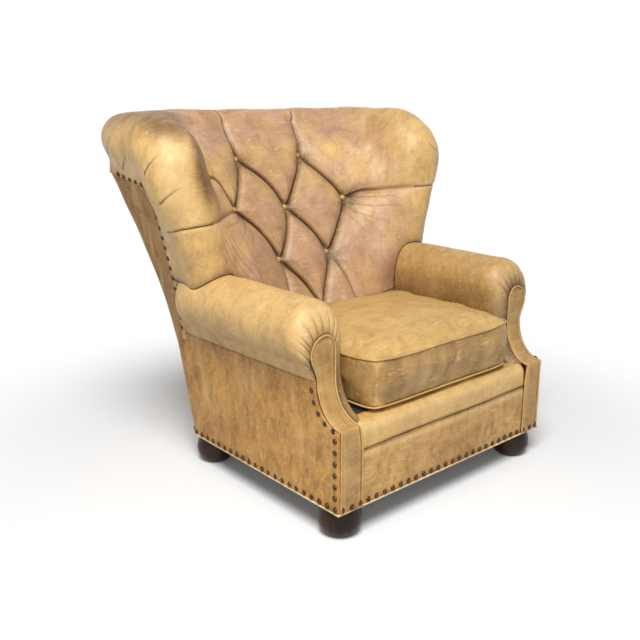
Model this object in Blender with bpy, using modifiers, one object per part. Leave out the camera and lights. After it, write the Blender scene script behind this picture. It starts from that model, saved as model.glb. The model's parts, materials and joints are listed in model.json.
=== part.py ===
"""Rolled-wing leather armchair: hardwood frame, sprung seat, diamond-tufted barrel back, loose cushion.

Lengths are metres and +Z is up. The chair faces -Y. Depth is measured back from the front of the base,
and an empty there, set so that the chair's depth is centred on the origin, carries every piece.
"""
import math

import bmesh
import bpy
from mathutils import Vector

# Overall sizes
OVERALL_HEIGHT = 1.058
OVERALL_DEPTH = 0.962
WING_SPREAD = 1.150
BASE_WIDTH = 0.860
BASE_DEPTH = 0.700
BASE_TAPER = 0.020
FOOT_HEIGHT = 0.086
ARM_WIDTH = 0.120

# Feet
FOOT_RADIUS = 0.059
FOOT_TOP_RADIUS = 0.040
FOOT_BASE_RADIUS = 0.034
FOOT_INSET = 0.057
FOOT_NECK = 0.006
FOOT_SWELL_ANGLE = math.radians(50)
FOOT_SWELL_POWER = 0.6
BOLT_RADIUS = 0.005
BOLT_REACH = 0.045

# Hardwood base
RAIL_THICKNESS = 0.025
RAIL_HEIGHT = 0.140
BLOCK_LEG = 0.110
BLOCK_HEIGHT = 0.060
POST_THICKNESS = 0.018
ARM_POST_INSET = 0.010
ARM_POST_DEPTH = 0.055
BACK_POST_DEPTH = 0.045
BACK_POST_SETBACK = 0.019
HOOP_RADIUS = 0.016
TACK_RAIL_HEIGHT = 0.040
TACK_RAIL_RISE = 0.090
ARM_RAIL_WIDTH = 0.050
ARM_RAIL_THICKNESS = 0.025
DUST_COVER_THICKNESS = 0.0015
DUST_COVER_INSET = 0.012
RAIL_BEVEL = 0.003

# Springs, webbing and seat deck
SPRING_COUNT = 5
SPRING_WIRE_RADIUS = 0.0018
SPRING_WAVE = 0.022
SPRING_PITCH = 0.045
SPRING_CROWN = 0.012
SPRING_MARGIN = 0.110
WEB_COUNT = 4
WEB_WIDTH = 0.050
WEB_THICKNESS = 0.003
WEB_MARGIN = 0.100
DECK_TOP = 0.312
LIP_SEAM = 0.243
LIP_DEPTH = 0.060
LIP_ROUND = 0.030
LIP_TUCK = 0.003
BORDER_THICKNESS = 0.012
BORDER_BEVEL = 0.003
DECK_BEVEL = 0.006

# Arms
ARM_HEIGHT = 0.618
ARM_ROLL_RADIUS = 0.086
ARM_ROLL_DROP = 0.198
ARM_BACK_INSET = 0.025
ARM_PAD_THICKNESS = 0.025
ARM_FRONT_ROUND = 0.070
ARM_REAR_ROUND = 0.055
ARM_REAR_TURN = math.radians(75)
ARM_TUCK_ANGLE = math.radians(50)
FACING_MARGIN = 0.039
FACING_DROP = 0.083
FACING_THICKNESS = 0.010
FACING_SEAM = 0.002
WAIST_SEAM = 0.006
FACING_CROWN_STEP = math.radians(20)
BLOCK_DROP = 0.002
COVE_DEPTH = 0.088

# Outside panels
PANEL_THICKNESS = 0.006
CORNER_RADIUS = 0.040
BACK_LEAN = 0.112
BACK_CURVE = 0.107
WING_FLARE = 0.090
FLARE_START = 0.550
FLARE_POWER = 1.3
WING_NAIL_INSET = 0.020
NAIL_SIDE_HEIGHT = 0.858
NAIL_BACK_HEIGHT = 0.890

# Rolled rim of wings and crest
WING_FRONT = 0.503
WING_ROLL_RADIUS = 0.062
HORN_ROLL_RADIUS = 0.090
CREST_ROLL_RADIUS = 0.060
WING_FOOT = 0.400
WING_LEAN = 0.012
HORN_TURN_DEPTH = 0.110
HORN_TURN_RISE = 0.085
WING_SWEEP_POWER = 2.4
CREST_PLAN_POWER = 0.77
CORNER_OVERHANG = 0.060
RIB_FOCUS_DEPTH = 0.550
RIB_FOCUS_HEIGHT = 0.780
ARM_ROLL_START = math.radians(65)
HORN_ROLL_START = math.radians(25)
WING_ROLL_END = math.radians(190)
CREST_ROLL_END = math.radians(240)

# Tufted inside back
BACK_PAD_THICKNESS = 0.025
BACK_SEAT_DEPTH = 0.512
BACK_SEAT_HEIGHT = 0.464
BACK_RAKE = 0.309
BACK_CURL = 0.051
BARREL_DEPTH = 0.180
BARREL_TOP_DEPTH = 0.120
BARREL_OPENS = 0.760
BARREL_OPEN = 0.940
BARREL_HALF_WIDTH = 0.400
BARREL_POWER = 2.6
BARREL_START = 0.440
BARREL_FULL = 0.600
TUFT_FIRST_ROW = 0.447
TUFT_ROW_PITCH = 0.150
TUFT_HALF_STEP = 0.087
TUFT_STEP_GROWTH = 0.014
TUFT_SMILE = 0.004
TUFT_DEPTH = 0.046
PLEAT_DEPTH = 0.030
PLEAT_REACH = 0.42
BUTTON_REACH = 0.55
CORNER_EASE_ACROSS = 0.06
CORNER_EASE_UP = 0.35
BUTTON_RADIUS = 0.009
BUTTON_DOME = 0.005
BUTTON_SHANK = 0.012

# Loose seat cushion
CUSHION_CLEARANCE = 0.008
CUSHION_SETBACK = 0.004
CUSHION_BAND = 0.126
CUSHION_EDGE_LIFT = 0.016
CUSHION_CROWN = 0.036
CUSHION_CORNER = 0.016
CUSHION_DRAW = 0.004
CUSHION_BULGE = 0.006
WELT_RADIUS = 0.004

# Fits
GAP = 0.0004
FRAME_CLEARANCE = 0.002
EDGE_CLEARANCE = 0.010
CORNER_SEAM = 0.0015

# Wall shares at thinned edges
PAD_EDGE_SHARE = 0.2
ARM_SEAM_SHARE = 0.12
PANEL_EDGE_SHARE = 0.5

# Mesh counts
LATTICE_PARTS = 3
BACK_COLUMNS = 8
BACK_ROWS = 12
TUFT_COLUMN_END = 6
TUFT_ROW_END = 8
ROLL_LAYERS = 7
RIM_LEG_ENDS = (0.42, 0.60)
RIM_CORNER = (0.44, 0.78)
CREST_CORNER_SHARE = 0.40
CREST_NAIL_POWER = 1.4
COVE_CELLS = 5
ARM_WALL_CELLS = 3
ARM_ARC_CELLS = 9
ARM_FRONT_CELLS = 4
ARM_RUN_CELLS = 4
ARM_REAR_CELLS = 3
FACING_COLUMNS = 3
FACING_CROWN_CELLS = 4
PANEL_ARM_CELLS = 5
PANEL_WING_CELLS = 4
PANEL_WING_ROWS = 6
BACK_HALF_CELLS = 5
BACK_EDGE_CELLS = 2
BACK_PANEL_ROWS = 7
CUSHION_CELLS = 8
HOOP_CELLS = 14
HOOP_FOOT_CELLS = 6
POST_CELLS = 6
LIP_CELLS = 4
FOOT_CELLS = 6
FOOT_STEPS = 16
BUTTON_STEPS = 10
BOLT_HOLE_STEPS = 12

# Worked out from the sizes above
RAIL_TOP = FOOT_HEIGHT + RAIL_HEIGHT
SEAT_WIDTH = BASE_WIDTH - 2 * ARM_WIDTH
ARM_BACK = BASE_DEPTH - ARM_BACK_INSET
WING_NAIL_DEPTH = BASE_DEPTH - WING_NAIL_INSET
ARM_ROLL_Z = ARM_HEIGHT - ARM_ROLL_RADIUS
ARM_ROLL_X = SEAT_WIDTH / 2 + ARM_ROLL_RADIUS
ARM_UNDERSIDE = ARM_HEIGHT - ARM_ROLL_DROP
FACING_HALF_WIDTH = ARM_ROLL_RADIUS - FACING_MARGIN
FACING_TOP = ARM_HEIGHT - FACING_DROP
BLOCK_TOP = DECK_TOP - BLOCK_DROP
COVE_TOP = ARM_UNDERSIDE
COVE_RISE = COVE_TOP - BLOCK_TOP
FACING_CENTRE_Z = FACING_TOP - FACING_HALF_WIDTH
FACING_INNER_X = ARM_ROLL_X - FACING_HALF_WIDTH
FACING_WAIST_X = BASE_WIDTH / 2 - PANEL_THICKNESS - FRAME_CLEARANCE
DECK_BOTTOM = RAIL_TOP + SPRING_CROWN + 2 * SPRING_WIRE_RADIUS + 2 * GAP
RAIL_OUTER_X = BASE_WIDTH / 2 - PANEL_THICKNESS - GAP
RAIL_END = BASE_DEPTH - CORNER_RADIUS
HORN_X = WING_SPREAD / 2 - HORN_ROLL_RADIUS
HORN_FOOT_Z = OVERALL_HEIGHT - HORN_ROLL_RADIUS - HORN_TURN_RISE
CREST_DEPTH = OVERALL_DEPTH - CREST_ROLL_RADIUS
POST_X = RAIL_OUTER_X - BASE_TAPER - RAIL_THICKNESS / 2
SIDES = (("left", -1), ("right", 1))

LEATHER = ((0.55, 0.33, 0.13), 0.45, 0.0)
WOOD = ((0.55, 0.40, 0.24), 0.60, 0.0)
ESPRESSO = ((0.03, 0.02, 0.015), 0.30, 0.0)
STEEL = ((0.45, 0.45, 0.46), 0.35, 1.0)
CLOTH = ((0.10, 0.09, 0.08), 0.90, 0.0)
JUTE = ((0.50, 0.40, 0.25), 0.90, 0.0)


def clear_scene():
    for item in list(bpy.data.objects):
        bpy.data.objects.remove(item, do_unlink=True)


def new_collection(name):
    collection = bpy.data.collections.new(name)
    bpy.context.scene.collection.children.link(collection)
    return collection


def new_empty(name, parent=None):
    empty = bpy.data.objects.new(name, None)
    empty.parent = parent
    PARTS.objects.link(empty)
    return empty


def finish_material(name, finish):
    colour, roughness, metallic = finish
    material = bpy.data.materials.new(name + "_finish")
    material.use_nodes = True
    shader = material.node_tree.nodes["Principled BSDF"]
    shader.inputs["Base Color"].default_value = (*colour, 1.0)
    shader.inputs["Roughness"].default_value = roughness
    shader.inputs["Metallic"].default_value = metallic
    return material


def place_part(name, data, finish, parent=None):
    part = bpy.data.objects.new(name, data)
    part.parent = parent or ROOT
    PARTS.objects.link(part)
    data.materials.append(finish_material(name, finish))
    return part


def place_cutter(name, mesh):
    cutter = bpy.data.objects.new(name, mesh)
    cutter.parent = ROOT
    cutter.hide_render = True
    cutter.display_type = "WIRE"
    CUTTERS.objects.link(cutter)
    return cutter


def cut(part, cutter):
    boolean = part.modifiers.new("cut_" + cutter.name, "BOOLEAN")
    boolean.operation = "DIFFERENCE"
    boolean.solver = "EXACT"
    boolean.object = cutter


def box_mesh(name, low, high):
    """A box between two corners."""
    mesh = bpy.data.meshes.new(name)
    form = bmesh.new()
    bmesh.ops.create_cube(form, size=1.0)
    for vertex in form.verts:
        for axis in range(3):
            vertex.co[axis] = low[axis] + (vertex.co[axis] + 0.5) * (high[axis] - low[axis])
    form.to_mesh(mesh)
    form.free()
    return mesh


def box(name, low, high, finish, bevel=0.0, parent=None):
    part = place_part(name, box_mesh(name, low, high), finish, parent)
    if bevel:
        rounding = part.modifiers.new("edges", "BEVEL")
        rounding.width = bevel
        rounding.segments = 2
    return part


def outline_curve(name, loops, half_thickness):
    """A flat outline, with any further loops as holes, thickened both ways."""
    curve = bpy.data.curves.new(name, "CURVE")
    curve.dimensions = "2D"
    curve.fill_mode = "BOTH"
    curve.extrude = half_thickness
    for loop in loops:
        spline = curve.splines.new("POLY")
        spline.points.add(len(loop) - 1)
        for point, (across, up) in zip(spline.points, loop):
            point.co = (across, up, 0.0, 1.0)
        spline.use_cyclic_u = True
    return curve


def side_board(name, outline, centre_x, thickness, finish):
    """A board cut to an outline of depth and height, standing across the chair's width."""
    board = place_part(name, outline_curve(name, [outline], thickness / 2), finish)
    board.rotation_euler = (math.pi / 2, 0.0, math.pi / 2)
    board.location = (centre_x, 0.0, 0.0)
    return board


def flat_board(name, loops, low, thickness, finish):
    """A board cut to a plan outline, lying flat with its underside at the given height."""
    board = place_part(name, outline_curve(name, loops, thickness / 2), finish)
    board.location = (0.0, 0.0, low + thickness / 2)
    return board


def tube_curve(name, points, radius, resolution=1, closed=False):
    curve = bpy.data.curves.new(name, "CURVE")
    curve.dimensions = "3D"
    curve.bevel_depth = radius
    curve.bevel_resolution = resolution
    curve.use_fill_caps = not closed
    spline = curve.splines.new("POLY")
    spline.points.add(len(points) - 1)
    for point, place in zip(spline.points, points):
        point.co = (*place, 1.0)
    spline.use_cyclic_u = closed
    return curve


def curve_cutter(name, curve):
    """Turn a curve into a closed mesh that can cut."""
    source = bpy.data.objects.new(name + "_curve", curve)
    CUTTERS.objects.link(source)
    graph = bpy.context.evaluated_depsgraph_get()
    mesh = bpy.data.meshes.new_from_object(source.evaluated_get(graph))
    form = bmesh.new()
    form.from_mesh(mesh)
    bmesh.ops.remove_doubles(form, verts=form.verts, dist=0.00005)
    bmesh.ops.recalc_face_normals(form, faces=form.faces)
    form.to_mesh(mesh)
    form.free()
    bpy.data.objects.remove(source, do_unlink=True)
    return place_cutter(name, mesh)


def circle_loop(centre, radius, count):
    turns = [2 * math.pi * step / count for step in range(count)]
    return [(centre[0] + radius * math.cos(turn), centre[1] + radius * math.sin(turn)) for turn in turns]


def turned(name, profile, centre, finish, steps=FOOT_STEPS):
    """A turned piece from a profile of radius and height."""
    mesh = bpy.data.meshes.new(name)
    form = bmesh.new()
    corners = [form.verts.new((radius, 0.0, height)) for radius, height in profile]
    for first, second in zip(corners, corners[1:]):
        form.edges.new((first, second))
    form.to_mesh(mesh)
    form.free()
    part = place_part(name, mesh, finish)
    part.location = centre
    screw = part.modifiers.new("turn", "SCREW")
    screw.steps = steps
    screw.render_steps = steps
    screw.use_merge_vertices = True
    screw.merge_threshold = 0.0001
    return part


def sheet(name, columns, rows, place, thickness, finish, mirrored=False, keep=None, weight=None, fold=None):
    """A grid laid out by a place function of column and row, thickened away from its outer face.

    A keep function drops cells, a weight function thins the wall and a fold function says how deep a
    grid point lies, so that each cell is creased along its deeper diagonal.
    """
    form = bmesh.new()
    bmesh.ops.create_grid(form, x_segments=columns, y_segments=rows, size=0.5)
    cells = {}
    for vertex in form.verts:
        cells[vertex] = (round((vertex.co.x + 0.5) * columns), round((vertex.co.y + 0.5) * rows))
    if keep:
        dropped = []
        for face in form.faces:
            column, row = (min(cells[vertex][axis] for vertex in face.verts) for axis in (0, 1))
            if not keep(column, row):
                dropped.append(face)
        bmesh.ops.delete(form, geom=dropped, context="FACES")
    if fold:
        for face in list(form.faces):
            corners = list(face.verts)
            depths = [fold(*cells[vertex]) for vertex in corners]
            twist = depths[0] + depths[2] - depths[1] - depths[3]
            if twist:
                first = 0 if twist > 0.0 else 1
                bmesh.utils.face_split(face, corners[first], corners[first + 2])
    for vertex in form.verts:
        vertex.co = place(*cells[vertex])
    if mirrored:
        for vertex in form.verts:
            vertex.co.x = -vertex.co.x
        bmesh.ops.reverse_faces(form, faces=form.faces)
    form.verts.index_update()
    weights = [weight(*cells[vertex]) for vertex in form.verts] if weight else []
    mesh = bpy.data.meshes.new(name)
    form.to_mesh(mesh)
    form.free()
    mesh.shade_smooth()
    part = place_part(name, mesh, finish)
    shell = part.modifiers.new("wall", "SOLIDIFY")
    shell.thickness = thickness
    shell.offset = -1.0
    if weights:
        group = part.vertex_groups.new(name="wall")
        for index, value in enumerate(weights):
            group.add([index], value, "REPLACE")
        shell.vertex_group = "wall"
    return part


def blend(low, high, share):
    return low + (high - low) * share


def smooth(share):
    share = min(max(share, 0.0), 1.0)
    return share * share * (3.0 - 2.0 * share)


# The body's outer shape

def half_width(depth, height):
    """Half the width over the outside panels: tapered at the base, flared at the wings."""
    climb = (height - FOOT_HEIGHT) / (ARM_UNDERSIDE - FOOT_HEIGHT)
    taper = BASE_TAPER * depth / BASE_DEPTH * max(0.0, 1.0 - climb)
    flare = max(0.0, (height - FLARE_START) / (NAIL_SIDE_HEIGHT - FLARE_START)) ** FLARE_POWER
    return BASE_WIDTH / 2 - taper + WING_FLARE * flare


def back_depth(height):
    """Depth of the outside back, which leans back and curves."""
    climb = (height - FOOT_HEIGHT) / (NAIL_BACK_HEIGHT - FOOT_HEIGHT)
    return BASE_DEPTH + BACK_LEAN * climb + BACK_CURVE * climb * climb


def side_run(height):
    return back_depth(height) - CORNER_RADIUS


def shell_length(height):
    """Length of half the body's plan outline, from the front corner to the middle of the back."""
    return side_run(height) + CORNER_RADIUS * (math.pi / 2 - 1.0) + half_width(side_run(height), height)


def shell_point(run, height):
    """A point of the outside, a run back from the front corner: along the side, then across the back."""
    straight = side_run(height)
    turn = (run - straight) / CORNER_RADIUS
    if turn <= 0.0:
        return Vector((half_width(run, height), run, height))
    inner = half_width(straight, height) - CORNER_RADIUS
    if turn < math.pi / 2:
        across = inner + CORNER_RADIUS * math.cos(turn)
        return Vector((across, straight + CORNER_RADIUS * math.sin(turn), height))
    return Vector((inner - (turn - math.pi / 2) * CORNER_RADIUS, back_depth(height), height))


def nail_height(run):
    """Height of the nailed edge under the rolled rim, rising from the wing's front edge to the back."""
    rise = (run - WING_NAIL_DEPTH) / (side_run(NAIL_BACK_HEIGHT) - WING_NAIL_DEPTH)
    return blend(NAIL_SIDE_HEIGHT, NAIL_BACK_HEIGHT, min(rise, 1.0))


def facing_depth(height):
    """Depth of the arm front: upright, sweeping forward in a cove to the base block."""
    if height <= BLOCK_TOP:
        return 0.0
    drop = min(max((COVE_TOP - height) / COVE_RISE, 0.0), 1.0)
    return COVE_DEPTH * math.sqrt(1.0 - drop * drop)


def cove_point(share, inset):
    """Depth and height along the cove, from the block's edge (0) to the upright (1), set into the arm."""
    turn = math.pi / 2 * share
    normal = Vector((COVE_RISE * math.sin(turn), -COVE_DEPTH * math.cos(turn))).normalized() * inset
    return COVE_DEPTH * math.sin(turn) + normal.x, COVE_TOP - COVE_RISE * math.cos(turn) + normal.y


def facing_outer_x(height):
    """Outer edge of the arm facing, drawn in at the waist under the roll."""
    share = smooth((height - ARM_UNDERSIDE) / (FACING_CENTRE_Z - ARM_UNDERSIDE))
    return blend(FACING_WAIST_X, ARM_ROLL_X + FACING_HALF_WIDTH, share)


# The rolled rim

def rim_centre(share):
    """Centre of the rim's roll, from the wing's foot (0) over the horn to the middle of the crest (1)."""
    wing_end, turn_end = RIM_LEG_ENDS
    if share <= wing_end:
        climb = share / wing_end
        radius = rim_radius(share)
        across = blend(ARM_ROLL_X, HORN_X, climb ** WING_SWEEP_POWER)
        depth = WING_FRONT + radius + WING_LEAN * climb * climb
        return Vector((across, depth, blend(WING_FOOT, HORN_FOOT_Z, climb)))
    horn_depth = WING_FRONT + HORN_ROLL_RADIUS + WING_LEAN
    if share <= turn_end:
        turn = (share - wing_end) / (turn_end - wing_end) * math.pi / 2
        depth = horn_depth + HORN_TURN_DEPTH * (1.0 - math.cos(turn))
        return Vector((HORN_X, depth, HORN_FOOT_Z + HORN_TURN_RISE * math.sin(turn)))
    across, depth = crest_plan(crest_share(share), horn_depth + HORN_TURN_DEPTH)
    return Vector((across, depth, OVERALL_HEIGHT - rim_radius(share)))


def crest_share(share):
    """How far along the crest, from the horn (0) to the middle (1)."""
    return max(0.0, (share - RIM_LEG_ENDS[1]) / (1.0 - RIM_LEG_ENDS[1]))


def crest_plan(share, start):
    """Plan of the crest: back from the horn and round in a full curve to the middle."""
    turn = share * math.pi / 2
    across = HORN_X * max(math.cos(turn), 0.0) ** CREST_PLAN_POWER
    return across, blend(start, CREST_DEPTH, math.sin(turn) ** CREST_PLAN_POWER)


def rim_radius(share):
    wing_end, turn_end = RIM_LEG_ENDS
    if share <= wing_end:
        return blend(WING_ROLL_RADIUS, HORN_ROLL_RADIUS, (share / wing_end) ** 2)
    if share <= turn_end:
        return HORN_ROLL_RADIUS
    return blend(HORN_ROLL_RADIUS, CREST_ROLL_RADIUS, smooth((share - turn_end) / (1.0 - turn_end)))


def rim_frame(share):
    """Directions across the roll: in towards the sitter, and round towards its crown."""
    step = 0.01
    if share > 1.0 - step:
        along = Vector((-1.0, 0.0, 0.0))
    else:
        along = (rim_centre(share + step) - rim_centre(max(share - step, 0.0))).normalized()
    inward = Vector((0.0, RIB_FOCUS_DEPTH, RIB_FOCUS_HEIGHT)) - rim_centre(share)
    inward = (inward - inward.dot(along) * along).normalized()
    return inward, along.cross(inward)


def nail_point(share):
    """Where the rim's cover is nailed to the outside panels."""
    wing_end, turn_end = RIM_LEG_ENDS
    side_end = side_run(NAIL_SIDE_HEIGHT) - CORNER_RADIUS
    if share <= wing_end:
        height = blend(WING_FOOT, NAIL_SIDE_HEIGHT, share / wing_end)
        return shell_point(WING_NAIL_DEPTH - EDGE_CLEARANCE, height)
    turn_run = blend(WING_NAIL_DEPTH, side_end, (turn_end - wing_end) / (1.0 - wing_end))
    if share <= turn_end:
        run = blend(WING_NAIL_DEPTH, turn_run, (share - wing_end) / (turn_end - wing_end))
    else:
        run = blend(turn_run, shell_length(NAIL_BACK_HEIGHT), crest_share(share) ** CREST_NAIL_POWER)
    return shell_point(run, nail_height(run) + EDGE_CLEARANCE)


def roll_point(share, layer):
    """A point of the rolled rim, in layers from its inner side round to the nailed edge."""
    if layer == ROLL_LAYERS:
        return nail_point(share)
    end = blend(WING_ROLL_END, CREST_ROLL_END, smooth(crest_share(share)))
    start = blend(ARM_ROLL_START, HORN_ROLL_START, smooth(share / RIM_LEG_ENDS[0]))
    angle = blend(start, end, (layer - 1) / (ROLL_LAYERS - 2))
    inward, crown = rim_frame(share)
    point = rim_centre(share) + rim_radius(share) * (math.cos(angle) * inward + math.sin(angle) * crown)
    overhang = CORNER_OVERHANG * smooth(1.0 - abs(crest_share(share) / CREST_CORNER_SHARE - 1.0))
    outward = Vector((-inward.x, -inward.y, 0.0)).normalized()
    return point + outward * overhang * max(0.0, -math.cos(angle))


# The tufted inside back

def back_face(across, height):
    """Depth of the inside back before tufting: raked, curled at the top, barrel-curved in plan."""
    climb = max(0.0, (height - BACK_SEAT_HEIGHT) / (OVERALL_HEIGHT - BACK_SEAT_HEIGHT))
    opening = smooth((height - BARREL_OPENS) / (BARREL_OPEN - BARREL_OPENS))
    barrel = blend(BARREL_DEPTH, BARREL_TOP_DEPTH, opening)
    barrel *= smooth((height - BARREL_START) / (BARREL_FULL - BARREL_START))
    sweep = (abs(across) / BARREL_HALF_WIDTH) ** BARREL_POWER
    return BACK_SEAT_DEPTH + BACK_RAKE * climb + BACK_CURL * climb * climb - barrel * sweep


def tuft_pleats():
    """Sewn pleats between buttons, in half steps across and rows up."""
    diamonds = [((0, 2), (1, 3)), ((1, 3), (2, 2)), ((0, 2), (1, 1)), ((2, 2), (1, 1))]
    runs_out = [((1, 1), (0, 0)), ((1, 1), (2, 0)), ((1, 3), (1, 4)), ((2, 2), (4, 2))]
    pleats = []
    for side in (-1, 1):
        for start, end in diamonds + runs_out:
            pleats.append(((side * start[0], start[1]), (side * end[0], end[1])))
    return pleats


TUFT_BUTTONS = ((-1, 3), (1, 3), (-2, 2), (0, 2), (2, 2), (-1, 1), (1, 1))


def distance_to_pleat(across, row, pleat):
    start, end = Vector(pleat[0]), Vector(pleat[1])
    run = end - start
    share = (Vector((across, row)) - start).dot(run) / run.length_squared
    return (Vector((across, row)) - start - run * min(max(share, 0.0), 1.0)).length


def tuft_sink(across, row):
    """How deep the cover is drawn in at a place of the tuft pattern."""
    nearest = min(distance_to_pleat(across, row, pleat) for pleat in tuft_pleats())
    button = min(math.hypot(across - spot[0], row - spot[1]) for spot in TUFT_BUTTONS)
    pleat_sink = PLEAT_DEPTH * max(0.0, 1.0 - nearest / PLEAT_REACH)
    button_sink = (TUFT_DEPTH - PLEAT_DEPTH) * max(0.0, 1.0 - button / BUTTON_REACH)
    return pleat_sink + button_sink


def tuft_point(across, row):
    height = TUFT_FIRST_ROW + TUFT_ROW_PITCH * row + TUFT_SMILE * across * across
    width = across * (TUFT_HALF_STEP + TUFT_STEP_GROWTH * row)
    return Vector((width, back_face(width, height) + tuft_sink(across, row), height))


def back_skin(column, row):
    """The inside back's cover: the tufted field, then ribs out over the rolled rim."""
    side = column - BACK_COLUMNS - ROLL_LAYERS
    beyond_side = abs(side) - BACK_COLUMNS
    beyond_top = row - BACK_ROWS
    layer = max(beyond_side, beyond_top)
    if layer <= 0:
        ease = smooth((abs(side) - TUFT_COLUMN_END) / (BACK_COLUMNS - TUFT_COLUMN_END))
        ease *= smooth((row - TUFT_ROW_END) / (BACK_ROWS - TUFT_ROW_END))
        across = side / LATTICE_PARTS * (1.0 - CORNER_EASE_ACROSS * ease)
        return tuft_point(across, (row - 2) / LATTICE_PARTS - CORNER_EASE_UP * ease)
    corner_start, corner_end = RIM_CORNER
    if beyond_top <= 0:
        share = corner_start * row / BACK_ROWS
    elif beyond_side <= 0:
        share = blend(1.0, corner_end, abs(side) / BACK_COLUMNS)
    else:
        share = blend(corner_start, corner_end, (beyond_top - beyond_side) / (2 * layer) + 0.5)
    place = roll_point(share, layer)
    if side < 0:
        place.x = -place.x
    return place


def back_fold(column, row):
    """How deep the tuft pattern lies at a grid point of the inside back."""
    side = column - BACK_COLUMNS - ROLL_LAYERS
    if abs(side) > BACK_COLUMNS or row > BACK_ROWS:
        return 0.0
    return tuft_sink(side / LATTICE_PARTS, (row - 2) / LATTICE_PARTS)


def back_wall(column, row):
    """Share of the pad's thickness, thinning out to the nailed edge."""
    layer = max(abs(column - BACK_COLUMNS - ROLL_LAYERS) - BACK_COLUMNS, row - BACK_ROWS)
    return PAD_EDGE_SHARE if layer == ROLL_LAYERS else 1.0


# The arms

def arm_outer(cell):
    """Outer section of the arm, from the foot of the inside wall, over the roll, to the tuck underneath."""
    if cell <= ARM_WALL_CELLS:
        return SEAT_WIDTH / 2, blend(DECK_TOP + GAP, ARM_ROLL_Z, cell / ARM_WALL_CELLS)
    if cell <= ARM_WALL_CELLS + ARM_ARC_CELLS:
        turn = blend(math.pi, -ARM_TUCK_ANGLE, (cell - ARM_WALL_CELLS) / ARM_ARC_CELLS)
        return ARM_ROLL_X + ARM_ROLL_RADIUS * math.cos(turn), ARM_ROLL_Z + ARM_ROLL_RADIUS * math.sin(turn)
    return BASE_WIDTH / 2, ARM_UNDERSIDE + GAP


def arm_seam(cell):
    """Edge of the arm's cover round the facing, cell by cell with the outer section."""
    radius = FACING_HALF_WIDTH + FACING_SEAM
    if cell <= ARM_WALL_CELLS:
        return ARM_ROLL_X - radius, blend(DECK_TOP + GAP, FACING_CENTRE_Z, cell / ARM_WALL_CELLS)
    turn = blend(math.pi, -ARM_TUCK_ANGLE, (cell - ARM_WALL_CELLS) / ARM_ARC_CELLS)
    if turn >= 0.0:
        return ARM_ROLL_X + radius * math.cos(turn), FACING_CENTRE_Z + radius * math.sin(turn)
    last = ARM_WALL_CELLS + ARM_ARC_CELLS + 1
    drop = (cell - last) / (ARM_ARC_CELLS * ARM_TUCK_ANGLE / (math.pi + ARM_TUCK_ANGLE) + 1.0) + 1.0
    height = blend(FACING_CENTRE_Z, ARM_UNDERSIDE + GAP, min(drop, 1.0))
    return facing_outer_x(height) + WAIST_SEAM, height


def arm_skin(cell, row):
    """The arm's cover: rounded on to the facing in front, straight along the roll, drawn in at the back."""
    across, height = arm_outer(cell)
    seam_x, seam_z = arm_seam(cell)
    front = facing_depth(max(seam_z, BLOCK_TOP))
    if row <= ARM_FRONT_CELLS:
        turn = math.pi / 2 * (1.0 - row / ARM_FRONT_CELLS)
        share = math.cos(turn)
        depth = front + ARM_FRONT_ROUND * (1.0 - math.sin(turn))
        return Vector((blend(seam_x, across, share), depth, blend(seam_z, height, share)))
    straight_end = ARM_BACK - ARM_REAR_ROUND
    run = row - ARM_FRONT_CELLS
    if run <= ARM_RUN_CELLS:
        return Vector((across, blend(front + ARM_FRONT_ROUND, straight_end, run / ARM_RUN_CELLS), height))
    turn = ARM_REAR_TURN * (run - ARM_RUN_CELLS) / ARM_REAR_CELLS
    drawn_in = max(0.0, across - BASE_WIDTH / 2) * (1.0 - math.cos(turn))
    return Vector((across - drawn_in, straight_end + ARM_REAR_ROUND * math.sin(turn), height))


def arm_wall(cell, row):
    """Share of the arm pad's thickness, thin along the facing seam and the tuck."""
    underside = ARM_WALL_CELLS + ARM_ARC_CELLS - 2
    if row == 0 or cell > underside + 2:
        return ARM_SEAM_SHARE
    return PAD_EDGE_SHARE if cell >= underside else 1.0


def arm_section_loop():
    """The arm's section grown by a gap and run out and down, to cut the back pad round the arm."""
    loop = [(SEAT_WIDTH / 2 - GAP, FOOT_HEIGHT)]
    for cell in range(ARM_ARC_CELLS + 1):
        turn = math.pi * (1.0 - cell / ARM_ARC_CELLS)
        radius = (ARM_ROLL_RADIUS + 2 * GAP) / math.cos(math.pi / 2 / ARM_ARC_CELLS)
        loop.append((ARM_ROLL_X + radius * math.cos(turn), ARM_ROLL_Z + radius * math.sin(turn)))
    loop.append((WING_SPREAD / 2, ARM_ROLL_Z))
    loop.append((WING_SPREAD / 2, FOOT_HEIGHT))
    return loop


# Pieces of the frame

def build_rails():
    front = BORDER_THICKNESS + GAP
    slope = BASE_TAPER / BASE_DEPTH
    inner = RAIL_OUTER_X - RAIL_THICKNESS - GAP - slope * (front + RAIL_THICKNESS)
    back_reach = RAIL_OUTER_X - BASE_TAPER - RAIL_THICKNESS / 2
    box("frame_front_rail", (-inner, front, FOOT_HEIGHT), (inner, front + RAIL_THICKNESS, RAIL_TOP), WOOD)
    box("frame_back_rail", (-back_reach, RAIL_END + GAP, FOOT_HEIGHT),
        (back_reach, RAIL_END + GAP + RAIL_THICKNESS, RAIL_TOP), WOOD)
    corners = [(front, 0.0), (RAIL_END, 0.0), (RAIL_END, RAIL_THICKNESS), (front, RAIL_THICKNESS)]
    for side, sign in SIDES:
        plan = [(sign * (RAIL_OUTER_X - slope * depth - offset), depth) for depth, offset in corners]
        flat_board("frame_side_rail_" + side, [plan], FOOT_HEIGHT, RAIL_HEIGHT, WOOD)


def foot_places():
    """Centres of the feet: name, x and depth."""
    places = []
    for end, depth in (("front", FOOT_INSET), ("back", BASE_DEPTH - FOOT_INSET)):
        for side, sign in SIDES:
            across = BASE_WIDTH / 2 - FOOT_INSET - BASE_TAPER * depth / BASE_DEPTH
            places.append((end + "_" + side, sign * across, depth))
    return places


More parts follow.
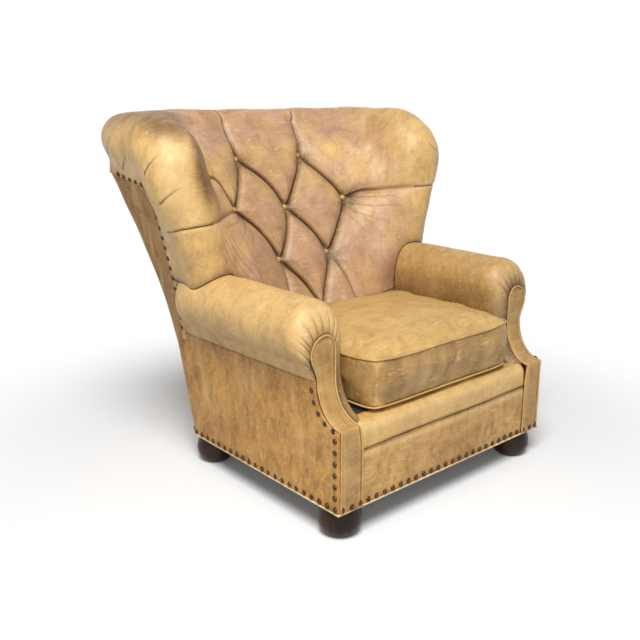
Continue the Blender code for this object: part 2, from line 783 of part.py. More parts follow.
def build_corner_blocks():
    slope = BASE_TAPER / BASE_DEPTH
    for name, across, depth in foot_places():
        sign = math.copysign(1.0, across)
        in_front = depth < BASE_DEPTH / 2
        rail_face = BORDER_THICKNESS + RAIL_THICKNESS + 2 * GAP
        corner_depth = rail_face if in_front else RAIL_END
        toward = 1.0 if in_front else -1.0
        plan = []
        for along, inward in ((0.0, 0.0), (BLOCK_LEG, 0.0), (0.0, BLOCK_LEG)):
            place = corner_depth + toward * along
            plan.append((sign * (RAIL_OUTER_X - RAIL_THICKNESS - GAP - slope * place - inward), place))
        hole = circle_loop((across, depth), BOLT_RADIUS + GAP, BOLT_HOLE_STEPS)
        flat_board("corner_block_" + name, [plan, hole], FOOT_HEIGHT, BLOCK_HEIGHT, WOOD)


def build_arm_frame():
    rail_low = ARM_ROLL_Z - ARM_RAIL_THICKNESS - GAP
    post_x = RAIL_OUTER_X - ARM_POST_INSET - POST_THICKNESS / 2
    inset = FACING_THICKNESS + FRAME_CLEARANCE
    front_edge = [(inset, RAIL_TOP + GAP), (inset, BLOCK_TOP - inset)]
    front_edge += [cove_point(step / COVE_CELLS, inset) for step in range(1, COVE_CELLS + 1)]
    front_edge.append((COVE_DEPTH + inset, rail_low - GAP))
    back = COVE_DEPTH + inset + ARM_POST_DEPTH
    outline = front_edge + [(back, rail_low - GAP), (back, RAIL_TOP + GAP)]
    rail_front = COVE_DEPTH + inset + ARM_POST_DEPTH / 2
    rail_back = back_depth(rail_low) - BACK_POST_SETBACK - BACK_POST_DEPTH - FRAME_CLEARANCE
    rail_x = RAIL_OUTER_X - FRAME_CLEARANCE - ARM_RAIL_WIDTH / 2
    for side, sign in SIDES:
        side_board("arm_post_" + side, outline, sign * post_x, POST_THICKNESS, WOOD)
        low = (sign * rail_x - ARM_RAIL_WIDTH / 2, rail_front, rail_low)
        high = (sign * rail_x + ARM_RAIL_WIDTH / 2, rail_back, rail_low + ARM_RAIL_THICKNESS)
        box("arm_rail_" + side, low, high, WOOD, RAIL_BEVEL)


def hoop_points():
    """The hoop's line inside the rolled rim, from one arm rail to the other."""
    foot = ARM_ROLL_Z + EDGE_CLEARANCE
    start = RIM_LEG_ENDS[0] * (foot - WING_FOOT) / (HORN_FOOT_Z - WING_FOOT)
    half = [rim_centre(blend(start, 1.0, step / HOOP_CELLS)) for step in range(HOOP_CELLS + 1)]
    return half + [Vector((-place.x, place.y, place.z)) for place in reversed(half[:-1])]


def hoop_at(across):
    """Where the hoop passes a given distance from the middle."""
    shares = [blend(RIM_LEG_ENDS[1], 1.0, step / 200) for step in range(201)]
    return min((rim_centre(share) for share in shares), key=lambda place: abs(place.x - across))


def build_back_frame():
    place_part("back_hoop", tube_curve("back_hoop", hoop_points(), HOOP_RADIUS, 2), WOOD)
    top = hoop_at(POST_X)
    straight_top = NAIL_SIDE_HEIGHT - RAIL_HEIGHT / 2
    heights = [blend(RAIL_TOP + GAP, straight_top, step / POST_CELLS) for step in range(POST_CELLS + 1)]
    rear = [(back_depth(height) - BACK_POST_SETBACK, height) for height in heights]
    front = [(depth - BACK_POST_DEPTH, height) for depth, height in rear]
    head = top.z - HOOP_RADIUS - FRAME_CLEARANCE
    outline = rear + [(top.y + HOOP_RADIUS, head), (top.y - HOOP_RADIUS, head)] + front[::-1]
    for side, sign in SIDES:
        side_board("back_post_" + side, outline, sign * POST_X, POST_THICKNESS, WOOD)
    low = DECK_TOP + TACK_RAIL_RISE
    face = back_depth(low) - BACK_POST_SETBACK - BACK_POST_DEPTH
    reach = POST_X - POST_THICKNESS / 2 - GAP
    box("back_tack_rail", (-reach, face, low), (reach, face + RAIL_THICKNESS, low + TACK_RAIL_HEIGHT), WOOD)
    build_webs(face - GAP, low + TACK_RAIL_HEIGHT, reach - WEB_MARGIN)


def build_webs(face, rail_top, reach):
    """Webbing straps, nailed down the tack rail's face and pulled tight to the hoop."""
    for index in range(WEB_COUNT):
        across = blend(-reach, reach, index / (WEB_COUNT - 1))
        edges = [hoop_at(abs(across) + shift) for shift in (-WEB_WIDTH / 2, WEB_WIDTH / 2)]
        hoop = min(edges, key=lambda place: place.y)
        pull = Vector((hoop.y - face, hoop.z - rail_top)).normalized()
        out = Vector((-pull.y, pull.x))
        end = Vector((hoop.y, hoop.z)) + out * (HOOP_RADIUS + FRAME_CLEARANCE)
        foot = Vector((face, rail_top - TACK_RAIL_HEIGHT))
        knee = Vector((face, rail_top))
        level = Vector((-WEB_THICKNESS, 0.0))
        outline = [foot, knee, end, end + out * WEB_THICKNESS, knee + level, foot + level]
        name = "back_web_%d" % (index + 1)
        side_board(name, [tuple(point) for point in outline], across, WEB_WIDTH, JUTE)


def build_springs():
    front = BORDER_THICKNESS + 2 * GAP
    back = RAIL_END + RAIL_THICKNESS
    turns = int((back - front) / SPRING_PITCH)
    reach = SEAT_WIDTH / 2 - SPRING_MARGIN / 2
    for index in range(SPRING_COUNT):
        centre = blend(-reach, reach, index / (SPRING_COUNT - 1))
        points = []
        for turn in range(turns + 1):
            wave = SPRING_WAVE * (1 if turn % 2 else -1)
            for swing in (-wave, wave):
                share = turn / turns
                level = RAIL_TOP + GAP + SPRING_WIRE_RADIUS
                crown = SPRING_CROWN * math.sin(math.pi * share)
                depth = blend(front + RAIL_THICKNESS / 2, back - RAIL_THICKNESS / 2, share)
                points.append((centre + swing, depth, level + crown))
        name = "seat_spring_%d" % (index + 1)
        place_part(name, tube_curve(name, points, SPRING_WIRE_RADIUS, 0), STEEL)


def build_seat_base():
    reach = FACING_INNER_X - GAP
    border_top = (reach, BORDER_THICKNESS, LIP_SEAM)
    box("front_border", (-reach, 0.0, FOOT_HEIGHT), border_top, LEATHER, BORDER_BEVEL)
    low = LIP_SEAM + GAP
    profile = [(LIP_DEPTH, low), (LIP_DEPTH, DECK_TOP)]
    for step in range(LIP_CELLS + 1):
        turn = math.pi / 2 * (1.0 + step / LIP_CELLS)
        rise = LIP_ROUND * (1.0 - math.sin(turn))
        profile.append((LIP_ROUND + LIP_ROUND * math.cos(turn), DECK_TOP - rise))
    profile.append((LIP_TUCK, low))
    side_board("front_lip", profile, 0.0, 2 * reach, LEATHER)
    deck_reach = RAIL_OUTER_X - RAIL_THICKNESS - BASE_TAPER - 2 * GAP
    deck_back = back_depth(DECK_BOTTOM) - BACK_POST_SETBACK - BACK_POST_DEPTH - FRAME_CLEARANCE
    deck_front = (-deck_reach, LIP_DEPTH + GAP, DECK_BOTTOM)
    box("seat_deck", deck_front, (deck_reach, deck_back, DECK_TOP), CLOTH, DECK_BEVEL)
    build_dust_cover()


def build_dust_cover():
    edge = BASE_WIDTH / 2 - DUST_COVER_INSET
    back_edge = edge - BASE_TAPER
    back = BASE_DEPTH - DUST_COVER_INSET
    plan = [(-edge, DUST_COVER_INSET), (edge, DUST_COVER_INSET), (back_edge, back), (-back_edge, back)]
    clear = FOOT_TOP_RADIUS + 2 * GAP
    holes = [circle_loop((across, depth), clear, FOOT_STEPS) for _, across, depth in foot_places()]
    low = FOOT_HEIGHT - GAP - DUST_COVER_THICKNESS
    flat_board("dust_cover", [plan] + holes, low, DUST_COVER_THICKNESS, CLOTH)


def build_feet():
    top = FOOT_HEIGHT - GAP
    bore = top - BOLT_REACH
    hole = BOLT_RADIUS + GAP
    shoulder = top - FOOT_NECK
    profile = [(0.0, bore), (hole, bore), (hole, top), (FOOT_TOP_RADIUS, top), (FOOT_TOP_RADIUS, shoulder)]
    flat = math.cos(FOOT_SWELL_ANGLE)
    for step in range(1, FOOT_CELLS + 1):
        share = step / FOOT_CELLS
        turn = blend(FOOT_SWELL_ANGLE, -FOOT_SWELL_ANGLE, share)
        swell = max(0.0, (math.cos(turn) - flat) / (1.0 - flat)) ** FOOT_SWELL_POWER
        edge = blend(FOOT_TOP_RADIUS, FOOT_BASE_RADIUS, share)
        profile.append((blend(edge, FOOT_RADIUS, swell), shoulder * (1.0 - share)))
    profile.append((0.0, 0.0))
    for name, across, depth in foot_places():
        turned("bun_foot_" + name, profile, (across, depth, 0.0), ESPRESSO)
        low = bore + GAP
        high = FOOT_HEIGHT + BLOCK_HEIGHT
        rod = [(0.0, high), (BOLT_RADIUS, high), (BOLT_RADIUS, low), (0.0, low)]
        turned("foot_bolt_" + name, rod, (across, depth, 0.0), STEEL)


# Upholstered pieces

def build_arms():
    cells = ARM_WALL_CELLS + ARM_ARC_CELLS + 1
    rows = ARM_FRONT_CELLS + ARM_RUN_CELLS + ARM_REAR_CELLS
    deck_corner = (BASE_WIDTH / 2, BASE_DEPTH, DECK_TOP + GAP)
    deck = box_mesh("deck_space", (-BASE_WIDTH / 2, -LIP_DEPTH, RAIL_TOP), deck_corner)
    deck_space = place_cutter("deck_space", deck)
    for side, sign in SIDES:
        pad = sheet("arm_pad_" + side, cells, rows, arm_skin, ARM_PAD_THICKNESS, LEATHER,
                    mirrored=sign < 0, weight=arm_wall)
        foot = [Vector((sign * place.x, place.y, place.z)) for place in hoop_points()[:HOOP_FOOT_CELLS]]
        cut(pad, deck_space)
        hole = tube_curve("hoop_hole", foot, HOOP_RADIUS + FRAME_CLEARANCE, 2)
        cut(pad, curve_cutter("hoop_hole_" + side, hole))


def facing_rows():
    """Heights of the facing's rows, from the base up over the rounded top."""
    heights = panel_rows() + [blend(COVE_TOP, FACING_CENTRE_Z, 0.5), FACING_CENTRE_Z]
    for step in range(1, FACING_CROWN_CELLS + 1):
        heights.append(FACING_CENTRE_Z + FACING_HALF_WIDTH * math.sin(FACING_CROWN_STEP * step))
    return heights


def facing_skin(column, row):
    height = facing_rows()[row]
    rise = max(0.0, (height - FACING_CENTRE_Z) / FACING_HALF_WIDTH)
    shrink = math.sqrt(max(0.0, 1.0 - rise * rise))
    inner = ARM_ROLL_X - FACING_HALF_WIDTH * shrink
    outer = ARM_ROLL_X + FACING_HALF_WIDTH * shrink if rise else facing_outer_x(height)
    return Vector((blend(inner, outer, column / FACING_COLUMNS), facing_depth(height), height))


def panel_rows():
    """Heights of the outside arm's lower rows, close together where the cove sweeps in."""
    heights = [FOOT_HEIGHT, blend(FOOT_HEIGHT, BLOCK_TOP, 0.5), BLOCK_TOP]
    turns = [math.pi / 2 * step / COVE_CELLS for step in range(1, COVE_CELLS + 1)]
    return heights + [COVE_TOP - COVE_RISE * math.cos(turn) for turn in turns]


def arm_panel_skin(column, row):
    """Outside of the arm and wing, from the cove edge back round to the corner seam."""
    lower = panel_rows()
    last = len(lower) - 1
    height = lower[min(row, last)]
    top = ARM_UNDERSIDE - GAP if row == last else height
    if column < PANEL_ARM_CELLS:
        run = blend(facing_depth(height), wing_run(0.0, height), column / PANEL_ARM_CELLS)
        return shell_point(run, min(top, height))
    climb = max(0, row - last) / PANEL_WING_ROWS
    share = (column - PANEL_ARM_CELLS) / PANEL_WING_CELLS
    head_run = wing_run(share, NAIL_BACK_HEIGHT)
    height = blend(height, nail_height(head_run) - GAP, climb)
    return shell_point(wing_run(share, height), height)


def wing_run(share, height):
    """Run back along the wing's outside: half of it straight, half of it into the corner."""
    straight = side_run(height)
    if share <= 0.5:
        return blend(min(WING_NAIL_DEPTH, straight - CORNER_RADIUS), straight, 2 * share)
    return straight + (CORNER_RADIUS * math.pi / 4 - CORNER_SEAM) * (2 * share - 1.0)


def build_panels():
    rows = len(facing_rows()) - 1
    lower = len(panel_rows()) - 1
    seam_column = PANEL_ARM_CELLS + PANEL_WING_CELLS
    for side, sign in SIDES:
        sheet("arm_facing_" + side, FACING_COLUMNS, rows, facing_skin, FACING_THICKNESS, LEATHER,
              mirrored=sign < 0)
        sheet("outside_arm_" + side, PANEL_ARM_CELLS + PANEL_WING_CELLS, lower + PANEL_WING_ROWS,
              arm_panel_skin, PANEL_THICKNESS, LEATHER, mirrored=sign < 0,
              keep=lambda column, row: column >= PANEL_ARM_CELLS or row < lower,
              weight=lambda column, row: PANEL_EDGE_SHARE if column == seam_column else 1.0)
    sheet("outside_back", 2 * BACK_HALF_CELLS, BACK_PANEL_ROWS, outside_back_skin, PANEL_THICKNESS, LEATHER,
          weight=lambda column, row: PANEL_EDGE_SHARE if column in (0, 2 * BACK_HALF_CELLS) else 1.0)


def outside_back_skin(column, row):
    """Outside back between the corner seams, from the base to the nailed edge under the crest."""
    height = blend(FOOT_HEIGHT, NAIL_BACK_HEIGHT - GAP, row / BACK_PANEL_ROWS)
    place = (column - BACK_HALF_CELLS) / BACK_HALF_CELLS
    corner = CORNER_RADIUS * math.pi / 2
    seam = side_run(height) + corner / 2 + CORNER_SEAM
    flat = side_run(height) + corner
    cell = abs(place) * BACK_HALF_CELLS
    flat_cells = BACK_HALF_CELLS - BACK_EDGE_CELLS
    if cell > flat_cells:
        run = blend(seam, flat, (BACK_HALF_CELLS - cell) / BACK_EDGE_CELLS)
    else:
        run = blend(shell_length(height), flat, cell / flat_cells)
    point = shell_point(run, height)
    point.x = math.copysign(point.x, -place) if place else 0.0
    return point


def build_back():
    columns = 2 * (BACK_COLUMNS + ROLL_LAYERS)
    pad = sheet("inside_back", columns, BACK_ROWS + ROLL_LAYERS, back_skin, BACK_PAD_THICKNESS, LEATHER,
                weight=back_wall, fold=back_fold)
    start, end = WING_FRONT - WING_ROLL_RADIUS, BASE_DEPTH + CORNER_RADIUS
    for side, sign in SIDES:
        loop = [(sign * across, height) for across, height in arm_section_loop()]
        cutter = curve_cutter("arm_space_" + side, outline_curve("arm_space", [loop], (end - start) / 2))
        cutter.rotation_euler = (math.pi / 2, 0.0, 0.0)
        cutter.location = (0.0, (start + end) / 2, 0.0)
        cut(pad, cutter)
    for index, spot in enumerate(TUFT_BUTTONS):
        build_button(index + 1, spot)


def build_button(index, spot):
    """A covered button: a dome in front, tapering back into the tuft."""
    step = 0.2
    seat = tuft_point(*spot)
    up = tuft_base(spot[0], spot[1] + step) - tuft_base(spot[0], spot[1] - step)
    across = tuft_base(spot[0] + step, spot[1]) - tuft_base(spot[0] - step, spot[1])
    out = across.cross(up).normalized()
    profile = [(0.0, BUTTON_SHANK + BUTTON_DOME)]
    for turn in (math.pi / 3, math.pi / 6):
        profile.append((BUTTON_RADIUS * math.cos(turn), BUTTON_SHANK + BUTTON_DOME * math.sin(turn)))
    profile += [(BUTTON_RADIUS, BUTTON_SHANK), (0.0, 0.0)]
    button = turned("tuft_button_%d" % index, profile, seat + out * GAP * 2, LEATHER, BUTTON_STEPS)
    button.rotation_euler = out.to_track_quat("Z", "Y").to_euler()


def tuft_base(across, row):
    """The tuft pattern's place on the back before it is drawn in."""
    place = tuft_point(across, row)
    return Vector((place.x, back_face(place.x, place.z), place.z))


# The loose seat cushion

def cushion_point(u, v, w):
    """A point of the cushion, each of u (across), v (back) and w (up) running from -1 to 1."""
    half_across = SEAT_WIDTH / 2 - CUSHION_CLEARANCE
    front, back = CUSHION_SETBACK, BACK_SEAT_DEPTH - CUSHION_CLEARANCE
    half_deep = (back - front) / 2
    corner = CUSHION_CORNER * (u * v) ** 6
    bulge = CUSHION_BULGE * (1.0 - w * w)
    trim = corner + CUSHION_BULGE - bulge
    across = u * (half_across - trim - CUSHION_DRAW * (1.0 - v * v) * abs(u) ** 3)
    deep = v * (half_deep - trim - CUSHION_DRAW * (1.0 - u * u) * abs(v) ** 3)
    rim = max(abs(u), abs(v)) ** 6
    low = DECK_TOP + GAP + CUSHION_EDGE_LIFT * rim
    high = DECK_TOP + GAP + CUSHION_EDGE_LIFT + CUSHION_BAND
    high += CUSHION_CROWN * math.sqrt(max(0.0, (1.0 - u * u) * (1.0 - v * v)))
    return Vector((across, (front + back) / 2 + deep, blend(low, high, (w + 1.0) / 2)))


def welt_points(w):
    """The welt's line just off the cushion's edge."""
    cells = CUSHION_CELLS
    ring = [(2 * step / cells - 1.0, -1.0) for step in range(cells)]
    ring += [(1.0, 2 * step / cells - 1.0) for step in range(cells)]
    ring += [(1.0 - 2 * step / cells, 1.0) for step in range(cells)]
    ring += [(-1.0, 1.0 - 2 * step / cells) for step in range(cells)]
    offset = (WELT_RADIUS + GAP) * math.sqrt(0.5)
    places = [cushion_point(u, v, w) for u, v in ring]
    points = []
    for index, place in enumerate(places):
        run = places[(index + 1) % len(places)] - places[index - 1]
        out = Vector((run.y, -run.x, 0.0)).normalized()
        points.append(place + out * offset + Vector((0.0, 0.0, w * offset)))
    return points


def build_cushion():
    form = bmesh.new()
    bmesh.ops.create_cube(form, size=2.0)
    bmesh.ops.subdivide_edges(form, edges=form.edges, cuts=CUSHION_CELLS - 1, use_grid_fill=True)
    for vertex in form.verts:
        vertex.co = cushion_point(*vertex.co)
    mesh = bpy.data.meshes.new("seat_cushion")
    form.to_mesh(mesh)
    form.free()
    mesh.shade_smooth()
    place_part("seat_cushion", mesh, LEATHER, CUSHION_SLIDE)
    for name, w in (("cushion_welt_bottom", -1.0), ("cushion_welt_top", 1.0)):
        welt = tube_curve(name, welt_points(w), WELT_RADIUS, closed=True)
        place_part(name, welt, LEATHER, CUSHION_SLIDE)


def centre_chair():
    """Move the chair so that its measured depth is centred on the origin."""
    bpy.context.view_layer.update()
    graph = bpy.context.evaluated_depsgraph_get()
    depths = []
    for part in PARTS.objects:
        if part.type != "EMPTY":
            solid = part.evaluated_get(graph)
            depths += [(part.matrix_world @ corner.co).y for corner in solid.to_mesh().vertices]
            solid.to_mesh_clear()
    ROOT.location.y -= (min(depths) + max(depths)) / 2


clear_scene()
PARTS = new_collection("rolled_wing_armchair")
CUTTERS = new_collection("cutters")
ROOT = new_empty("base_front")
CUSHION_SLIDE = new_empty("cushion_slide", ROOT)

build_rails()
build_corner_blocks()
build_arm_frame()
build_back_frame()
build_springs()
build_seat_base()
build_feet()
build_arms()
build_panels()
build_back()
build_cushion()
centre_chair()
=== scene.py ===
"""Dress the rolled-wing armchair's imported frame: hide covers, welts, nail heads, feet and a plain stage."""
import json
import math

import bpy
import numpy
from bpy.props import FloatProperty, FloatVectorProperty, PointerProperty
from mathutils import Matrix, Vector


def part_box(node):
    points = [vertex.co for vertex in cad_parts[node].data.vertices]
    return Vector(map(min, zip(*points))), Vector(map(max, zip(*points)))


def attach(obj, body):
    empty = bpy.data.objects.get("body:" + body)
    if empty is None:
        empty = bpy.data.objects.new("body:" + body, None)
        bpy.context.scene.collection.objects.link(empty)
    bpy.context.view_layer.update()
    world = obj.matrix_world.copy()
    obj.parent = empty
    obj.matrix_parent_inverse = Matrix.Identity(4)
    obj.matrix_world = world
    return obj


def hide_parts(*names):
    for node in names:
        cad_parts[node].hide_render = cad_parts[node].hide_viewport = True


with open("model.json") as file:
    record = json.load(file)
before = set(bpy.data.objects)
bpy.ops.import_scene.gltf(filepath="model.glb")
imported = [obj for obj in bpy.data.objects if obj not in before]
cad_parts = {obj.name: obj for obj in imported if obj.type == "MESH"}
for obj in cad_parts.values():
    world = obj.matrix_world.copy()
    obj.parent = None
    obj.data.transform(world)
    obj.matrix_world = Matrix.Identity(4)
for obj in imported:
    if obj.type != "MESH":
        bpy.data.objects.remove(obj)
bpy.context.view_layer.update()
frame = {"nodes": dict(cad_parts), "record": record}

bl_info = {
    "name": "Rolled Wing Armchair",
    "version": (1, 0, 0),
    "blender": (4, 5, 0),
    "location": "View3D > Sidebar > Armchair",
    "description": "Dresses a tufted leather armchair on its packed frame",
    "category": "Object",
}

# Places read from the frame; depth runs back from the front of the base
FRONT_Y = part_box("front_border")[0][1]
FOOT_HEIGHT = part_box("front_border")[0][2]
LIP_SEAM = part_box("front_border")[1][2]
DECK_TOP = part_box("seat_deck")[1][2]
ARM_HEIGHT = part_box("arm_pad_right")[1][2]
SEAT_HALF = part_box("arm_pad_right")[0][0]
BORDER_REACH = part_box("front_border")[1][0]
HORN_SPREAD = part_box("inside_back")[1][0]

# Body
BASE_HALF = 0.430
BASE_DEPTH = 0.700
BASE_TAPER = 0.020
CORNER_RADIUS = 0.040
BACK_LEAN = 0.112
BACK_CURVE = 0.107
WING_FLARE = 0.090
FLARE_START = 0.420
FLARE_POWER = 1.3
NAIL_SIDE_HEIGHT = 0.858
NAIL_BACK_HEIGHT = 0.890
WING_NAIL_DEPTH = 0.680
PANEL_THICKNESS = 0.006
PANEL_GAP = 0.002
FOOT_RADIUS = 0.059
FOOT_TOP_RADIUS = 0.040
FOOT_BASE_RADIUS = 0.034
FOOT_FLAT = 0.12
FOOT_SWELL_POWER = 0.62

# Arms
ARM_ROLL_RADIUS = 0.086
ARM_UNDERSIDE = 0.420
ARM_BACK = 0.675
ARM_FRONT_ROUND = 0.070
ARM_REAR_ROUND = 0.055
ARM_TUCK_ANGLE = math.radians(50)
ARM_REAR_TURN = math.radians(75)
FACING_HALF_WIDTH = 0.047
FACING_TOP = 0.535
FACING_SEAM = 0.002
INNER_STRIP = 0.014
WAIST_SEAM = 0.006
BLOCK_TOP = 0.310
COVE_DEPTH = 0.088
FACING_SWELL = 0.004
FACING_SINK = 0.001
FACING_TOP_EASE = 0.03
STRIP_RISE = 0.05
ARM_WALL_CELLS = 3
ARM_ARC_CELLS = 9
ARM_FRONT_CELLS = 4
ARM_RUN_CELLS = 4
ARM_REAR_CELLS = 3
ARM_GATHERS = 10
GATHER_SPAN = (4.2, 11.4)
GATHER_LENGTH = (2.6, 4.2)
GATHER_STRAY = 0.25
GATHER_LEAN = 0.06
GATHER_DEPTH = 0.0042
COVE_CELLS = 5
FACING_FINENESS = 4
PANEL_ARM_CELLS = 5
PANEL_WING_CELLS = 4
PANEL_WING_ROWS = 6

# Rolled rim
OVERALL_HEIGHT = 1.058
OVERALL_DEPTH = 0.962
WING_FRONT = 0.503
WING_ROLL_RADIUS = 0.062
HORN_ROLL_RADIUS = 0.090
CREST_ROLL_RADIUS = 0.060
WING_FOOT = 0.400
WING_LEAN = 0.012
HORN_TURN_DEPTH = 0.110
HORN_TURN_RISE = 0.085
WING_SWEEP_POWER = 2.4
CREST_PLAN_POWER = 0.77
CORNER_OVERHANG = 0.060
RIB_FOCUS = Vector((0.0, 0.550, 0.780))
ARM_ROLL_START = math.radians(65)
HORN_ROLL_START = math.radians(58)
WING_ROLL_END = math.radians(190)
CREST_ROLL_END = math.radians(240)
RIM_LEG_ENDS = (0.42, 0.60)
RIM_CORNER = (0.44, 0.78)
CREST_CORNER_SHARE = 0.40
CREST_NAIL_POWER = 1.4
ROLL_LAYERS = 7
EDGE_LAP = 0.006
LAP_PROUD = 0.0035

# Inside back
BACK_SEAT_DEPTH = 0.512
BACK_SEAT_HEIGHT = 0.464
BACK_RAKE = 0.309
BACK_CURL = 0.051
BARREL_DEPTH = 0.180
BARREL_TOP_DEPTH = 0.120
BARREL_OPENS = 0.760
BARREL_OPEN = 0.940
BARREL_HALF_WIDTH = 0.400
BARREL_POWER = 2.6
BARREL_START = 0.440
BARREL_FULL = 0.600
TUFT_FIRST_ROW = 0.447
TUFT_ROW_PITCH = 0.150
TUFT_HALF_STEP = 0.087
TUFT_STEP_GROWTH = 0.014
TUFT_SMILE = 0.004
LATTICE_PARTS = 3
BACK_COLUMNS = 8
BACK_ROWS = 12
TUFT_COLUMN_END = 6
TUFT_ROW_END = 8
CORNER_EASE_ACROSS = 0.06
CORNER_EASE_UP = 0.35
TUFT_BUTTONS = ((-1, 3), (1, 3), (-2, 2), (0, 2), (2, 2), (-1, 1), (1, 1))
BUTTON_FANS = ((0.42, -0.12), (0.20, -0.42), (0.06, -0.50), (-0.16, -0.44), (-0.40, -0.10),
               (0.36, 0.14), (-0.12, 0.40))
FAN_BUTTONS = ((1, 3), (2, 2), (0, 2), (1, 1))
WING_FOLDS = 5
WING_FOLD = numpy.array(((0.400, 0.511, 0.700), (0.380, 0.514, 0.650), (0.352, 0.517, 0.605),
                         (0.322, 0.514, 0.560)))
WING_FOLD_SHIFT = numpy.array((-0.015, 0.010, 0.004))
FOLD_SCALE = 0.012
TUCK_SHARE = 0.36
CREASE_REACH = 0.016
CREASE_FADE = 0.006
BUTTON_DRAW = 0.080
BUTTON_DRAW_POWER = 1.7
# Reaches of the painted shade round each button and in the joint of arm and back
BUTTON_SHADE_REACH = 0.028
JOINT_SHADE_REACH = 0.014
FOLD_LIP = 0.0010
EDGE_FLAT = 0.15
EDGE_EASE = 0.6
FAR_OFF = 9.0
RIM_STEPS = 400
RIM_EASE = 26

# Seat cushion
CUSHION_CLEARANCE = 0.008
CUSHION_SETBACK = 0.004
CUSHION_BAND = 0.126
CUSHION_EDGE_LIFT = 0.016
CUSHION_CORNER = 0.016
CUSHION_DRAW = 0.004
CUSHION_BULGE = 0.006
CUSHION_VOXEL = 0.006
CUSHION_PRESSURE = 4.0
CLOTH_FRAMES = 20
SIDE_ROOM = 0.004
FRONT_ROOM = 0.010
TOP_ROOM = 0.014
BOTTOM_ROOM = 0.004
GAP = 0.0004
CUSHION_CUTS = 47
CUSHION_SEAM_DRAW = 0.0030
BAND_START = 0.950
BAND_FADE = 0.015
BAND_CORNER = 0.05
PIPING_OFFSET = 0.0014
RING_CELLS = 48

# Covers, welts, stitches and nails
TUFT_COVER = 0.010
ARM_COVER = 0.008
PANEL_COVER = 0.005
BORDER_COVER = 0.010
COVER_TUCK = 0.010
BORDER_GAP = 0.002
BORDER_EASE = 0.004
LIP_ROUND = 0.030
LIP_DEEP = 0.060
LIP_STEPS = 14
LIP_LAP = 0.001
LIP_TUCK = (0.006, 0.004)
LIP_SET = (0.001, 0.003)
BASE_WELT_RISE = 0.001
WELT_PROUD = 0.0015
STITCH_FLATNESS = 0.28
STITCH_PITCH = 1.35
STITCH_OFF = 0.006
STITCH_END = 0.010
STITCH_DEPTHS = {"border": 0.0015, "lip": 0.0005}
NAIL_RISE = 0.0125
NAIL_SET = 0.013
NAIL_PROUD = 0.0005
NAIL_UNDER = 0.3
WING_NAIL_FOOT = 0.015
ARM_NAIL_FOOT = 0.031
ARM_NAIL_TOP = 0.008
ARM_NAIL_SET = 0.015
NAIL_LINE_STEPS = 400
CORNER_DEPTH = 0.840
CORNER_REACH = 0.470
WING_NAIL_SHARE = 0.36
BUTTON_OUT = 0.007
BUTTON_TOP = 0.62
BUTTON_UNDER = 0.35

# Photographed view, floor and lights
CAMERA_PLACE = (-1.697, -1.349, 1.116)
CAMERA_TURN = math.radians(41.77)
CAMERA_DIP = math.radians(15.62)
CAMERA_LENS = 46.16
FLOOR_SIZE = 14.0
FLOOR_FADE = (0.62, 1.55, 0.05, 1.0)
LIGHT_TARGET = (0.0, 0.0, 0.5)
KEY_PLACE = (-1.8, -1.9, 4.0)
KEY_SIZE = 2.2
FILL_PLACE = (-2.2, -2.6, 1.5)
FILL_SIZE = 2.0

# Hides: colour, worn colour, how clouded, blotched and scuffed, and roughness
HIDES = {
    "hide_roll": ("tan", "back", 0.32, 0.34, 0.36, 0.42),
    "hide_arm": ("tan", "seat", 0.30, 0.30, 0.38, 0.42),
    "hide_side": ("side", "side", 0.50, 0.65, 0.40, 0.55),
    "hide_front": ("front", "front", 0.50, 0.60, 0.35, 0.50),
    "hide_facing": ("seat", "front", 0.50, 0.40, 0.18, 0.45),
    "hide_cushion": ("seat", "seat", 0.32, 0.30, 0.45, 0.40),
    "hide_welt": ("seat", "seat", 0.40, 0.25, 0.2, 0.50),
    "hide_edge": ("pale", "pale", 0.50, 0.30, 0.2, 0.50),
    "hide_thread": ("shade", "shade", 0.30, 0.20, 0.3, 0.60),
    "hide_button": ("seat", "seat", 0.45, 0.30, 0.3, 0.35),
}

# Scratches, each as a turn and a scale
SCRATCHES = (((0.4, 0.5, 0.2), (5.0, 70.0, 70.0)), ((0.9, -0.3, 0.8), (7.0, 90.0, 90.0)),
             ((-0.5, 0.7, 1.9), (6.0, 80.0, 80.0)), ((0.2, 1.2, -0.6), (5.0, 60.0, 60.0)))

# Folds of the back: depth, thinness, place and width of the lip, amounts and reaches of the shadow
LINE_KINDS = {
    "pleat": (1.0, 1.0, 0.012, 0.006, ((0.5, 0.010), (0.5, 0.030))),
    "groove": (0.75, 1.7, 0.009, 0.005, ((0.4, 0.008),)),
}

# Unevenness of each cover as waves: height, length, draw, and how drawn out upwards (1 is not)
UNEVEN = {
    "back": ((0.0022, 0.17, 3, 1.0), (0.0010, 0.06, 4, 1.0)),
    "arm": ((0.0018, 0.20, 5, 1.0),),
    "facing": ((0.001, 0.11, 8, 1.0),),
    "arm_panel": ((0.0016, 0.24, 13, 1.0), (0.0008, 0.05, 14, 0.3)),
    "back_panel": ((0.0018, 0.26, 17, 1.0),),
    "border": ((0.0012, 0.20, 31, 1.0),),
    "lip": ((0.0015, 0.18, 33, 1.0),),
    "pucker": ((0.0013, 0.035, 41, 0.35),),
    "cushion_band": ((0.0034, 0.10, 43, 0.4),),
    "cushion_top": ((0.0026, 0.13, 47, 1.0),),
}

